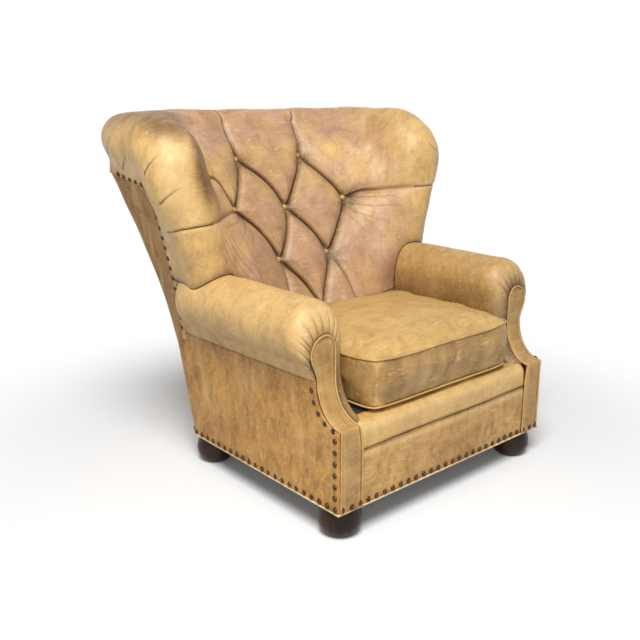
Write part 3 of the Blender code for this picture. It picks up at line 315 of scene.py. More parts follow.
# Worked out from the sizes above
ARM_ROLL_Z = ARM_HEIGHT - ARM_ROLL_RADIUS
ARM_ROLL_X = SEAT_HALF + ARM_ROLL_RADIUS
COVE_RISE = ARM_UNDERSIDE - BLOCK_TOP
FACING_CENTRE_Z = FACING_TOP - FACING_HALF_WIDTH
FACING_WAIST_X = BASE_HALF - PANEL_THICKNESS - PANEL_GAP
HORN_X = HORN_SPREAD - HORN_ROLL_RADIUS
HORN_FOOT_Z = OVERALL_HEIGHT - HORN_ROLL_RADIUS - HORN_TURN_RISE
CREST_DEPTH = OVERALL_DEPTH - CREST_ROLL_RADIUS
SIDES = (("left", -1), ("right", 1))


class HideLook(bpy.types.PropertyGroup):
    """Colours of the waxed hide."""
    tan: FloatVectorProperty(name="Tan", description="Arms and rolls", subtype="COLOR",
                             default=(0.710, 0.460, 0.172))
    side: FloatVectorProperty(name="Side", description="Outside arms and back", subtype="COLOR",
                              default=(0.605, 0.312, 0.070))
    front: FloatVectorProperty(name="Front", description="Border and arm fronts", subtype="COLOR",
                               default=(0.650, 0.380, 0.122))
    seat: FloatVectorProperty(name="Seat", description="Cushion, facings and welts", subtype="COLOR",
                              default=(0.610, 0.382, 0.132))
    back: FloatVectorProperty(name="Back", description="Worn inside back", subtype="COLOR",
                              default=(0.540, 0.320, 0.198))
    # Shade is also the colour of painted shade in folds, corners, round buttons and on the left horn and
    # right arm
    shade: FloatVectorProperty(name="Shade", description="Brown of patches and thread", subtype="COLOR",
                               default=(0.180, 0.078, 0.021))
    # Pale also paints highlights on the pleats' lips, the rolls' crowns, the seat lip and the facings
    pale: FloatVectorProperty(name="Pale", description="Worn edges, scratches, base welt", subtype="COLOR",
                              default=(0.880, 0.640, 0.320))
    # The seam colour paints shade: a dark line in pleats, folds and seams, and the darkest painted shade
    seam: FloatVectorProperty(name="Seam", description="Dark line in pleats and seams", subtype="COLOR",
                              default=(0.045, 0.018, 0.008))


class TuftShape(bpy.types.PropertyGroup):
    """Depths of the tufted back."""
    pleat_depth: FloatProperty(name="Pleat depth", description="How far a pleat lies under its pillows",
                               default=0.043, unit="LENGTH")
    button_depth: FloatProperty(name="Button depth", description="Further depth at a button",
                                default=0.016, unit="LENGTH")
    pillow_reach: FloatProperty(name="Pillow reach", description="From a pleat to the flat of its pillow",
                                default=0.085, unit="LENGTH")
    tuck_reach: FloatProperty(name="Tuck reach", description="Width of a pillow's rounded edge",
                              default=0.035, unit="LENGTH")
    groove_depth: FloatProperty(name="Groove depth", description="Narrow fold along a pleat",
                                default=0.005, unit="LENGTH")
    groove_width: FloatProperty(name="Groove width", description="Half width of that fold",
                                default=0.0050, unit="LENGTH")
    button_radius: FloatProperty(name="Button radius", description="Radius of a covered button",
                                 default=0.0092, unit="LENGTH")


class TrimSizes(bpy.types.PropertyGroup):
    """Sizes of nails, welts, stitches and cushion."""
    nail_radius: FloatProperty(name="Nail radius", description="Radius of a nail head", default=0.0078,
                               unit="LENGTH")
    nail_dome: FloatProperty(name="Nail dome", description="Height of a nail head", default=0.0048,
                             unit="LENGTH")
    nail_spacing: FloatProperty(name="Nail spacing", description="Between nail centres", default=0.031,
                                unit="LENGTH")
    welt_radius: FloatProperty(name="Welt radius", description="Radius of a sewn welt", default=0.0028,
                               unit="LENGTH")
    stitch_length: FloatProperty(name="Stitch length", description="Length of a sewn stitch", default=0.005,
                                 unit="LENGTH")
    cushion_crown: FloatProperty(name="Cushion crown", description="Rise of the cushion's middle",
                                 default=0.036, unit="LENGTH")


class StageLook(bpy.types.PropertyGroup):
    """Light and floor."""
    floor: FloatVectorProperty(name="Floor", description="Colour of the floor", subtype="COLOR",
                               default=(0.90, 0.90, 0.90))
    key: FloatProperty(name="Key light", description="Power of the soft light overhead", default=215.0,
                       unit="POWER")
    fill: FloatProperty(name="Fill light", description="Power of the light beside the camera", default=14.0,
                        unit="POWER")
    world: FloatProperty(name="Room light", description="Strength of the even light all round", default=0.22)


# Sums shared by the pieces

def blend(low, high, share):
    return low + (high - low) * share


def smooth(share):
    share = numpy.clip(share, 0.0, 1.0)
    eased = share * share * (3.0 - 2.0 * share)
    return eased if numpy.ndim(eased) else float(eased)


def steps(*runs):
    """Positions along a grid: each run is a start, an end and a count, and the runs join up."""
    places = [runs[0][0]]
    for start, end, count in runs:
        places += [blend(start, end, step / count) for step in range(1, count + 1)]
    return numpy.array(places)


def through(values, places):
    """A smooth curve through rows of values at whole numbers, read at other places."""
    values = numpy.concatenate([2 * values[:1] - values[1:2], values, 2 * values[-1:] - values[-2:-1]])
    index = numpy.clip(numpy.floor(places).astype(int), 0, len(values) - 4)
    share = (places - index).reshape(-1, *[1] * (values.ndim - 1))
    before, start, end, after = (values[index + shift] for shift in range(4))
    return 0.5 * (2 * start + (end - before) * share
                  + (2 * before - 5 * start + 4 * end - after) * share ** 2
                  + (3 * start - before - 3 * end + after) * share ** 3)


def grid_normals(points):
    across, up = numpy.gradient(points, axis=0), numpy.gradient(points, axis=1)
    normals = numpy.cross(across, up)
    return normals / numpy.maximum(numpy.linalg.norm(normals, axis=2, keepdims=True), 1e-9)


def ripple(points, size, seed):
    """Soft unevenness from -1 to 1: a few crossed waves of about one size."""
    total = numpy.zeros(points.shape[:-1])
    draws = numpy.random.default_rng(seed)
    for _ in range(6):
        way = draws.normal(size=3)
        way *= 2.0 * math.pi / size / numpy.linalg.norm(way) * draws.uniform(0.7, 1.4)
        total += numpy.sin(points @ way + draws.uniform(0.0, 6.3))
    return total / 3.5


def uneven(points, cover):
    """Waves of a cover, as UNEVEN lists them."""
    return sum(height * ripple(points * (1.0, 1.0, drawn), length, seed)
               for height, length, seed, drawn in UNEVEN[cover])


# Making pieces

def places_of(piece):
    flat = numpy.empty(len(piece.data.vertices) * 3)
    piece.data.vertices.foreach_get("co", flat)
    return flat.reshape(-1, 3)


def select_only(*pieces):
    bpy.ops.object.select_all(action="DESELECT")
    for piece in pieces:
        piece.select_set(True)
    bpy.context.view_layer.objects.active = pieces[-1]


def name_new(name):
    piece = bpy.context.object
    piece.name = name
    piece.data.name = name
    return piece


def apply(piece, kind, **settings):
    select_only(piece)
    modifier = piece.modifiers.new(kind.title(), kind)
    for setting, value in settings.items():
        setattr(modifier, setting, value)
    bpy.ops.object.modifier_apply(modifier=modifier.name)


def thicken(piece, thickness):
    apply(piece, "SOLIDIFY", thickness=thickness, offset=-1.0)


def write_marks(mesh, marks):
    """Keep marks as attributes that the hide reads."""
    for mark, values in marks.items():
        attribute = mesh.attributes.new(mark, "FLOAT", "POINT")
        attribute.data.foreach_set("value", values.ravel().astype(numpy.float32))
    mesh.update()


def lay_grid(name, points, marks):
    """A grid laid over a field of points, with its marks."""
    columns, rows = points.shape[0] - 1, points.shape[1] - 1
    bpy.ops.object.select_all(action="DESELECT")
    bpy.ops.mesh.primitive_grid_add(x_subdivisions=columns, y_subdivisions=rows, size=1.0)
    piece = name_new(name)
    flat = places_of(piece)
    column = numpy.rint((flat[:, 0] + 0.5) * columns).astype(int)
    row = numpy.rint((flat[:, 1] + 0.5) * rows).astype(int)
    placed = points[column, row].copy()
    placed[:, 1] += FRONT_Y
    piece.data.vertices.foreach_set("co", placed.ravel())
    write_marks(piece.data, {mark: values[column, row] for mark, values in marks.items()})
    return piece


def mirrored(points, marks, sign):
    """The same field for the other side of the chair, still facing out."""
    if sign > 0:
        return points, marks
    turned = points[::-1].copy()
    turned[..., 0] *= -1.0
    return turned, {mark: values[::-1] for mark, values in marks.items()}


def delete_points(piece, chosen):
    """Remove the vertices that a mask chooses."""
    select_only(piece)
    bpy.context.tool_settings.mesh_select_mode = (True, False, False)
    mesh = piece.data
    mesh.polygons.foreach_set("select", [False] * len(mesh.polygons))
    mesh.edges.foreach_set("select", [False] * len(mesh.edges))
    mesh.vertices.foreach_set("select", chosen)
    bpy.ops.object.mode_set(mode="EDIT")
    bpy.ops.mesh.delete(type="VERT")
    bpy.ops.object.mode_set(mode="OBJECT")


def cord_piece(name, points, radius, closed=False):
    """A round welt along a line of chair points."""
    curve = bpy.data.curves.new(name, "CURVE")
    curve.dimensions = "3D"
    curve.bevel_depth = radius
    curve.bevel_resolution = 2
    curve.use_fill_caps = not closed
    spline = curve.splines.new("POLY")
    spline.points.add(len(points) - 1)
    for knot, place in zip(spline.points, points):
        knot.co = (place[0], place[1] + FRONT_Y, place[2], 1.0)
    spline.use_cyclic_u = closed
    piece = bpy.data.objects.new(name, curve)
    bpy.context.scene.collection.objects.link(piece)
    select_only(piece)
    bpy.ops.object.convert(target="MESH")
    bpy.ops.object.mode_set(mode="EDIT")
    bpy.ops.mesh.select_all(action="SELECT")
    bpy.ops.mesh.remove_doubles(threshold=0.00005)
    bpy.ops.mesh.normals_make_consistent(inside=False)
    bpy.ops.object.mode_set(mode="OBJECT")
    return bpy.context.object


def sphere_model(name, segments, rings, radius):
    bpy.ops.object.select_all(action="DESELECT")
    bpy.ops.mesh.primitive_uv_sphere_add(segments=segments, ring_count=rings, radius=radius)
    return name_new(name)


def seated(place, out):
    """Moves a model to a place of the chair and turns its top to face out."""
    turn = out.to_track_quat("Z", "Y").to_matrix().to_4x4()
    return Matrix.Translation(place + Vector((0.0, FRONT_Y, 0.0))) @ turn


def set_copy(model, matrix):
    """A copy of a model with a mesh of its own, set in place."""
    piece = model.copy()
    piece.data = model.data.copy()
    bpy.context.scene.collection.objects.link(piece)
    piece.data.transform(matrix)
    return piece


def joined(name, pieces):
    select_only(*pieces)
    bpy.ops.object.join()
    return name_new(name)


def dress(piece, material, body="chair", stands_for=()):
    """Finish a piece: smooth shading, material, body and the nodes it stands for."""
    piece.data.materials.clear()
    piece.data.materials.append(material)
    select_only(piece)
    bpy.ops.object.shade_smooth()
    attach(piece, body)
    if stands_for:
        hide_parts(*stands_for)
    return piece


# Shape of the body

def half_width(depth, height):
    climb = (height - FOOT_HEIGHT) / (ARM_UNDERSIDE - FOOT_HEIGHT)
    taper = BASE_TAPER * depth / BASE_DEPTH * max(0.0, 1.0 - climb)
    flare = max(0.0, (height - FLARE_START) / (NAIL_SIDE_HEIGHT - FLARE_START)) ** FLARE_POWER
    return BASE_HALF - taper + WING_FLARE * flare


def back_depth(height):
    climb = (height - FOOT_HEIGHT) / (NAIL_BACK_HEIGHT - FOOT_HEIGHT)
    return BASE_DEPTH + BACK_LEAN * climb + BACK_CURVE * climb * climb


def side_run(height):
    return back_depth(height) - CORNER_RADIUS


def shell_length(height):
    return side_run(height) + CORNER_RADIUS * (math.pi / 2 - 1.0) + half_width(side_run(height), height)


def shell_point(run, height):
    """A point of the outside, a run back from the front corner: along the side, then across the back."""
    straight = side_run(height)
    turn = (run - straight) / CORNER_RADIUS
    if turn <= 0.0:
        return Vector((half_width(run, height), run, height))
    inner = half_width(straight, height) - CORNER_RADIUS
    if turn < math.pi / 2:
        across = inner + CORNER_RADIUS * math.cos(turn)
        return Vector((across, straight + CORNER_RADIUS * math.sin(turn), height))
    return Vector((inner - (turn - math.pi / 2) * CORNER_RADIUS, back_depth(height), height))


def shell_out(run, height):
    """Which way the outside faces there."""
    step = 0.004
    back = shell_point(run + step, height) - shell_point(run - step, height)
    up = shell_point(run, height + step) - shell_point(run, height - step)
    return back.cross(up).normalized()


def nail_height(run):
    rise = (run - WING_NAIL_DEPTH) / (side_run(NAIL_BACK_HEIGHT) - WING_NAIL_DEPTH)
    return blend(NAIL_SIDE_HEIGHT, NAIL_BACK_HEIGHT, min(rise, 1.0))


def facing_depth(height):
    if height <= BLOCK_TOP:
        return 0.0
    drop = min(max((ARM_UNDERSIDE - height) / COVE_RISE, 0.0), 1.0)
    return COVE_DEPTH * math.sqrt(1.0 - drop * drop)


def facing_outer_x(height):
    share = smooth((height - ARM_UNDERSIDE) / (FACING_CENTRE_Z - ARM_UNDERSIDE))
    return blend(FACING_WAIST_X, ARM_ROLL_X + FACING_HALF_WIDTH, share)


def foot_profile(share):
    """Radius and height of a bun foot, from the middle of its sole (0) to the middle of its top (1)."""
    top = FOOT_HEIGHT - GAP
    if share < FOOT_FLAT:
        return FOOT_BASE_RADIUS * share / FOOT_FLAT, 0.0
    if share > 1.0 - FOOT_FLAT:
        return FOOT_TOP_RADIUS * (1.0 - share) / FOOT_FLAT, top
    climb = (share - FOOT_FLAT) / (1.0 - 2 * FOOT_FLAT)
    swell = math.sin(math.pi * climb) ** FOOT_SWELL_POWER
    return blend(blend(FOOT_BASE_RADIUS, FOOT_TOP_RADIUS, climb), FOOT_RADIUS, swell), top * climb


# Shape of the rolled rim

def crest_share(share):
    return max(0.0, (share - RIM_LEG_ENDS[1]) / (1.0 - RIM_LEG_ENDS[1]))


def rim_radius(share):
    wing_end, turn_end = RIM_LEG_ENDS
    if share <= wing_end:
        return blend(WING_ROLL_RADIUS, HORN_ROLL_RADIUS, (share / wing_end) ** 2)
    if share <= turn_end:
        return HORN_ROLL_RADIUS
    return blend(HORN_ROLL_RADIUS, CREST_ROLL_RADIUS, smooth((share - turn_end) / (1.0 - turn_end)))


def rim_centre(share):
    """Centre of the roll, from the wing's foot (0) over the horn to the middle of the crest (1)."""
    wing_end, turn_end = RIM_LEG_ENDS
    if share <= wing_end:
        climb = share / wing_end
        across = blend(ARM_ROLL_X, HORN_X, climb ** WING_SWEEP_POWER)
        depth = WING_FRONT + rim_radius(share) + WING_LEAN * climb * climb
        return Vector((across, depth, blend(WING_FOOT, HORN_FOOT_Z, climb)))
    horn_depth = WING_FRONT + HORN_ROLL_RADIUS + WING_LEAN
    if share <= turn_end:
        turn = (share - wing_end) / (turn_end - wing_end) * math.pi / 2
        depth = horn_depth + HORN_TURN_DEPTH * (1.0 - math.cos(turn))
        return Vector((HORN_X, depth, HORN_FOOT_Z + HORN_TURN_RISE * math.sin(turn)))
    turn = crest_share(share) * math.pi / 2
    across = HORN_X * max(math.cos(turn), 0.0) ** CREST_PLAN_POWER
    depth = blend(horn_depth + HORN_TURN_DEPTH, CREST_DEPTH, math.sin(turn) ** CREST_PLAN_POWER)
    return Vector((across, depth, OVERALL_HEIGHT - rim_radius(share)))


def rim_table():
    """The roll's centre and radius along the rim, with the turns between its legs smoothed."""
    shares = [step / RIM_STEPS for step in range(RIM_STEPS + 1)]
    rows = numpy.array([(*rim_centre(share), rim_radius(share)) for share in shares])
    before = 2 * rows[0] - rows[RIM_EASE:0:-1]
    after = rows[-2:-RIM_EASE - 2:-1] * (-1.0, 1.0, 1.0, 1.0)
    rows = numpy.concatenate([before, rows, after])
    window = numpy.hanning(2 * RIM_EASE + 1)
    window /= window.sum()
    return numpy.stack([numpy.convolve(rows[:, column], window, "valid") for column in range(4)])


def rim_at(share):
    """Centre and radius of the roll."""
    steps_at = numpy.arange(RIM_STEPS + 1) / RIM_STEPS
    across, depth, height, radius = (float(numpy.interp(share, steps_at, row)) for row in RIM)
    return Vector((across, depth, height)), radius


def rim_frame(share):
    """Directions across the roll: in towards the sitter, and round towards its crown."""
    step = 0.01
    along = Vector((-1.0, 0.0, 0.0))
    if share <= 1.0 - step:
        along = (rim_at(share + step)[0] - rim_at(max(share - step, 0.0))[0]).normalized()
    inward = RIB_FOCUS - rim_at(share)[0]
    inward = (inward - inward.dot(along) * along).normalized()
    return inward, along.cross(inward)


def nail_run(share):
    """Run round the body where the rim's cover is nailed down, above the wing's front edge."""
    wing_end, turn_end = RIM_LEG_ENDS
    side_end = side_run(NAIL_SIDE_HEIGHT) - CORNER_RADIUS
    turn_run = blend(WING_NAIL_DEPTH, side_end, (turn_end - wing_end) / (1.0 - wing_end))
    if share <= turn_end:
        return blend(WING_NAIL_DEPTH, turn_run, (share - wing_end) / (turn_end - wing_end))
    return blend(turn_run, shell_length(NAIL_BACK_HEIGHT), crest_share(share) ** CREST_NAIL_POWER)


def nail_point(share, lap):
    """Edge of the rim's cover, lapped over the outside panels and lying proud of them."""
    if share <= RIM_LEG_ENDS[0]:
        run = WING_NAIL_DEPTH + lap
        height = blend(WING_FOOT, NAIL_SIDE_HEIGHT - lap, share / RIM_LEG_ENDS[0])
    else:
        run = nail_run(share) + lap * max(0.0, 1.0 - 20 * (share - RIM_LEG_ENDS[0]))
        height = nail_height(run) - lap
    return shell_point(run, height) + shell_out(run, height) * LAP_PROUD


def roll_point(share, layer):
    """A point of the rolled rim, in layers from its inner side round to its end."""
    end = blend(WING_ROLL_END, CREST_ROLL_END, smooth(crest_share(share)))
    start = blend(ARM_ROLL_START, HORN_ROLL_START, smooth(share / RIM_LEG_ENDS[0]))
    angle = blend(start, end, (layer - 1) / (ROLL_LAYERS - 2))
    inward, crown = rim_frame(share)
    centre, radius = rim_at(share)
    point = centre + (math.cos(angle) * inward + math.sin(angle) * crown) * radius
    overhang = CORNER_OVERHANG * smooth(1.0 - abs(crest_share(share) / CREST_CORNER_SHARE - 1.0))
    outward = Vector((-inward.x, -inward.y, 0.0)).normalized()
    return point + outward * overhang * max(0.0, -math.cos(angle))


def curve_between(start, leave, end, arrive, share):
    """A smooth curve between two points, leaving and arriving in given directions."""
    length = (end - start).length
    left = share * (1.0 - share) ** 2 * length
    right = share * share * (share - 1.0) * length
    return start.lerp(end, smooth(share)) + leave.normalized() * left + arrive.normalized() * right


def rim_point(share, layer, start, leave):
    """The cover beyond the field: out to the roll, round it, and in to the nailed edge."""
    step = 0.02
    last = ROLL_LAYERS - 1
    if layer < 1.0:
        first = roll_point(share, 1.0)
        return curve_between(start, leave, first, roll_point(share, 1.0 + step) - first, layer)
    if layer <= last:
        return roll_point(share, layer)
    turn = roll_point(share, last)
    edge = nail_point(share, EDGE_LAP)
    return curve_between(turn, turn - roll_point(share, last - step), edge, edge - turn, layer - last)


RIM = rim_table()


# Shape of the tufted back

def back_face(across, height):
    climb = max(0.0, (height - BACK_SEAT_HEIGHT) / (OVERALL_HEIGHT - BACK_SEAT_HEIGHT))
    opening = smooth((height - BARREL_OPENS) / (BARREL_OPEN - BARREL_OPENS))
    barrel = blend(BARREL_DEPTH, BARREL_TOP_DEPTH, opening)
    barrel *= smooth((height - BARREL_START) / (BARREL_FULL - BARREL_START))
    sweep = (abs(across) / BARREL_HALF_WIDTH) ** BARREL_POWER
    return BACK_SEAT_DEPTH + BACK_RAKE * climb + BACK_CURL * climb * climb - barrel * sweep


def tuft_place(across, row):
    """A place of the tuft pattern on the back before it is drawn in."""
    height = TUFT_FIRST_ROW + TUFT_ROW_PITCH * row + TUFT_SMILE * across * across
    width = across * (TUFT_HALF_STEP + TUFT_STEP_GROWTH * row)
    return Vector((width, back_face(width, height), height))


def field_point(side, row):
    ease = smooth((abs(side) - TUFT_COLUMN_END) / (BACK_COLUMNS - TUFT_COLUMN_END))
    ease *= smooth((row - TUFT_ROW_END) / (BACK_ROWS - TUFT_ROW_END))
    across = side / LATTICE_PARTS * (1.0 - CORNER_EASE_ACROSS * ease)
    return tuft_place(across, (row - 2) / LATTICE_PARTS - CORNER_EASE_UP * ease)


def plain_cover(side, row):
    """The inside back's right half before tufting: the field, then ribs out over the rolled rim."""
    beyond_side = side - BACK_COLUMNS
    beyond_top = row - BACK_ROWS
    layer = max(beyond_side, beyond_top)
    if layer <= 0.0:
        return field_point(side, row)
    corner_start, corner_end = RIM_CORNER
    edge_side, edge_row = min(side, BACK_COLUMNS), min(row, BACK_ROWS)
    start = field_point(edge_side, edge_row)
    step = 0.1
    out_side = (start - field_point(edge_side - step, edge_row)).normalized()
    out_top = (start - field_point(edge_side, edge_row - step)).normalized()
    if beyond_top <= 0.0:
        return rim_point(corner_start * row / BACK_ROWS, layer, start, out_side)
    if beyond_side <= 0.0:
        return rim_point(blend(1.0, corner_end, side / BACK_COLUMNS), layer, start, out_top)
    turn = (beyond_top - beyond_side) / (2 * layer) + 0.5
    return rim_point(blend(corner_start, corner_end, turn), layer, start, blend(out_side, out_top, turn))


def pleat_lines():
    """Pleats as a side (0 is both), places, and strengths at the two ends: diamonds, then runs outwards."""
    diamonds = [
        (1, (0, 2), (0.50, 2.50), (1, 3)), (1, (1, 3), (1.52, 2.52), (2, 2)),
        (1, (0, 2), (0.56, 1.55), (1, 1)), (1, (2, 2), (1.50, 1.50), (1, 1)),
        (1, (1, 1), (0.52, 0.50), (0, 0)),
        (-1, (0, 2), (0.40, 2.58), (1, 3)), (-1, (1, 3), (1.44, 2.50), (2, 2)),
        (-1, (0, 2), (0.45, 1.50), (1, 1)), (-1, (2, 2), (1.38, 1.60), (1, 1)),
        (-1, (1, 1), (0.43, 0.56), (0, 0)),
    ]
    lines = [(hand, [tuft_place(*place) for place in places], 1.0, 1.0) for hand, *places in diamonds]
    button = tuft_place(2, 2)
    lines += [
        (0, [tuft_place(1, 3), (0.134, 0.784, 0.940), (0.140, 0.815, 0.980), (0.142, 0.845, 1.020)],
         1.0, 0.45),
        (0, [tuft_place(1, 1), tuft_place(1.4, 0.35), tuft_place(1.6, -0.3)], 0.6, 0.2),
        (1, [button, (0.275, 0.637, 0.778), (0.312, 0.620, 0.790), (0.347, 0.594, 0.797),
             (0.412, 0.524, 0.803)], 1.0, 0.30),
        (-1, [button, (0.254, 0.661, 0.815), (0.267, 0.678, 0.845), (0.295, 0.681, 0.867),
              (0.345, 0.640, 0.885)], 1.0, 0.4),
        (-1, [button, (0.300, 0.605, 0.768), (0.360, 0.555, 0.766), (0.410, 0.516, 0.763)], 0.4, 0.3),
    ]
    return lines


def groove_lines():
    """Folds with no pillows beside them, given like the pleats: over the rolls, fans, tucks and wrinkles."""
    button = tuft_place(2, 2)
    lines = [
        (0, [(0.142, 0.845, 1.020), (0.150, 0.872, 1.050), (0.155, 0.910, 1.058), (0.158, 0.945, 1.035)],
         0.9, 0.4),
        (1, [(0.412, 0.524, 0.803), (0.473, 0.514, 0.802), (0.530, 0.540, 0.800), (0.548, 0.590, 0.790)],
         1.0, 0.6),
        (-1, [(0.410, 0.516, 0.763), (0.455, 0.511, 0.761), (0.487, 0.525, 0.757), (0.509, 0.551, 0.750),
              (0.510, 0.615, 0.738)], 1.0, 0.9),
        (1, [button, (0.252, 0.629, 0.767), (0.306, 0.597, 0.773), (0.351, 0.562, 0.776)], 0.8, 0.25),
        (0, [button, (0.232, 0.629, 0.751), (0.286, 0.593, 0.742), (0.358, 0.544, 0.744)], 0.7, 0.15),
        (0, [button, (0.219, 0.626, 0.735), (0.259, 0.591, 0.710), (0.312, 0.547, 0.689)], 0.6, 0.1),
        (0, [button, (0.207, 0.624, 0.723), (0.225, 0.591, 0.681), (0.240, 0.558, 0.635)], 0.5, 0.0),
        (-1, [(0.552, 0.850, 0.940), (0.566, 0.815, 0.972), (0.570, 0.782, 0.998)], 0.9, 0.1),
        (-1, [(0.547, 0.774, 0.904), (0.559, 0.747, 0.923), (0.567, 0.726, 0.939), (0.572, 0.713, 0.952)],
         0.9, 0.1),
        (-1, [(0.574, 0.612, 0.902), (0.573, 0.597, 0.921), (0.565, 0.582, 0.940), (0.551, 0.568, 0.956)],
         0.9, 0.1),
        (-1, [(0.550, 0.578, 0.823), (0.545, 0.555, 0.840), (0.532, 0.534, 0.858), (0.512, 0.522, 0.867)],
         0.9, 0.1),
        (1, [(0.520, 0.530, 0.915), (0.494, 0.525, 0.930), (0.475, 0.530, 0.944)], 0.9, 0.2),
    ]
    for index in range(WING_FOLDS):
        lines.append((-1, WING_FOLD + WING_FOLD_SHIFT * index, 0.15 + 0.15 * (index % 2), 0.25))
    for across, row in FAN_BUTTONS:
        for lean, drop in BUTTON_FANS:
            ends = [tuft_place(across + share * lean, row + share * drop) for share in (0.05, 0.5, 1.0)]
            lines.append((0 if across else 1, ends, 0.35, 0.0))
    return lines


def lay_lines(cover, lines):
    """Bring each line onto the cover, so that it follows the padding between its places."""
    laid = []
    flat = cover.reshape(-1, 3)
    for hand, places, first, last in lines:
        knots = numpy.array([tuple(place) for place in places])
        path = through(knots, numpy.linspace(0.0, len(knots) - 1.0, 14 * (len(knots) - 1) + 1))
        path = numpy.array([flat[((flat - place) ** 2).sum(axis=1).argmin()] for place in path])
        for _ in range(16):
            path[1:-1] = (path[:-2] + 2 * path[1:-1] + path[2:]) / 4
        laid.append((hand, path, first, last))
    return laid


def from_line(points, normals, line, reach):
    """Distance of the cover's points from a line, its strength there, and on which side they lie."""
    hand, path, first, last = line
    nearest = numpy.full(points.shape[:-1], FAR_OFF)
    strength, upper = numpy.zeros(nearest.shape), numpy.ones(nearest.shape)
    turn = numpy.sign(points[..., :1]) if hand == 0 else numpy.full(points[..., :1].shape, float(hand))
    turn = numpy.concatenate([turn, numpy.ones(points.shape[:-1] + (2,))], axis=-1)
    places = points * turn
    close = ((places > path.min(axis=0) - reach) & (places < path.max(axis=0) + reach)).all(axis=-1)
    places, facing = places[close], (normals * turn)[close]
    found, amount, above = nearest[close], strength[close], upper[close]
    for step in range(len(path) - 1):
        run = path[step + 1] - path[step]
        offset = places - path[step]
        share = numpy.clip(offset @ run / max(run @ run, 1e-12), 0.0, 1.0)
        offset = offset - share[:, None] * run
        distance = numpy.linalg.norm(offset, axis=-1)
        closer = distance < found
        found = numpy.where(closer, distance, found)
        amount = numpy.where(closer, blend(first, last, (step + share) / (len(path) - 1)), amount)
        above = numpy.where(closer, numpy.sign((numpy.cross(run, facing) * offset).sum(axis=-1)), above)
    nearest[close], strength[close], upper[close] = found, amount, above
    return nearest, strength, upper


def back_wear(points, edge):
    """Shares of worn colour, of painted shade with soil, and of rubbed paleness with painted highlight on the
    back's cover. The left horn is painted darker than the right, as shade.
    """
    across, height = numpy.abs(points[..., 0]), points[..., 2]
    bloom = 0.55 + 0.30 * smooth((0.88 - height) / 0.2) + 0.35 * ripple(points, 0.11, 7)
    bloom += 0.5 * smooth((height - 0.93) / 0.06)
    bloom *= smooth((0.46 - across) / 0.16) * smooth((5.0 - edge) / 2.5)
    # Painted shade: a dark band along the inner edge of the roll and over the top of the horn
    soil_and_shade = smooth(1.0 - numpy.abs(edge - 1.2) / 1.3) * smooth((height - 0.76) / 0.10)
    over = smooth((height - 0.955) / 0.07) * smooth((ROLL_LAYERS - 0.4 - edge) / 3.0)
    soil_and_shade = numpy.maximum(soil_and_shade, 0.95 * over) * smooth((across - 0.26) / 0.12)
    # Painted shade: the left horn is painted darker than the right
    soil_and_shade = soil_and_shade * numpy.where(points[..., 0] < 0.0, 0.95, 0.18)
    # Painted shadow of the left wing over the left of the inside back
    soil_and_shade += blend(0.32, 0.02, smooth((points[..., 0] + 0.25) / 0.40)) * smooth((0.30 - across) / 0.1)
    # Darker low on the wings
    soil_and_shade += 0.12 * smooth((0.74 - height) / 0.1) * smooth(edge)
    # Painted highlight: a pale band along the crown of the roll
    rubbed_and_highlight = 0.6 * smooth(1.0 - numpy.abs(edge - 3.4) / 2.0) * smooth((height - 0.74) / 0.10) * (1.0 - over)
    return bloom, soil_and_shade, rubbed_and_highlight


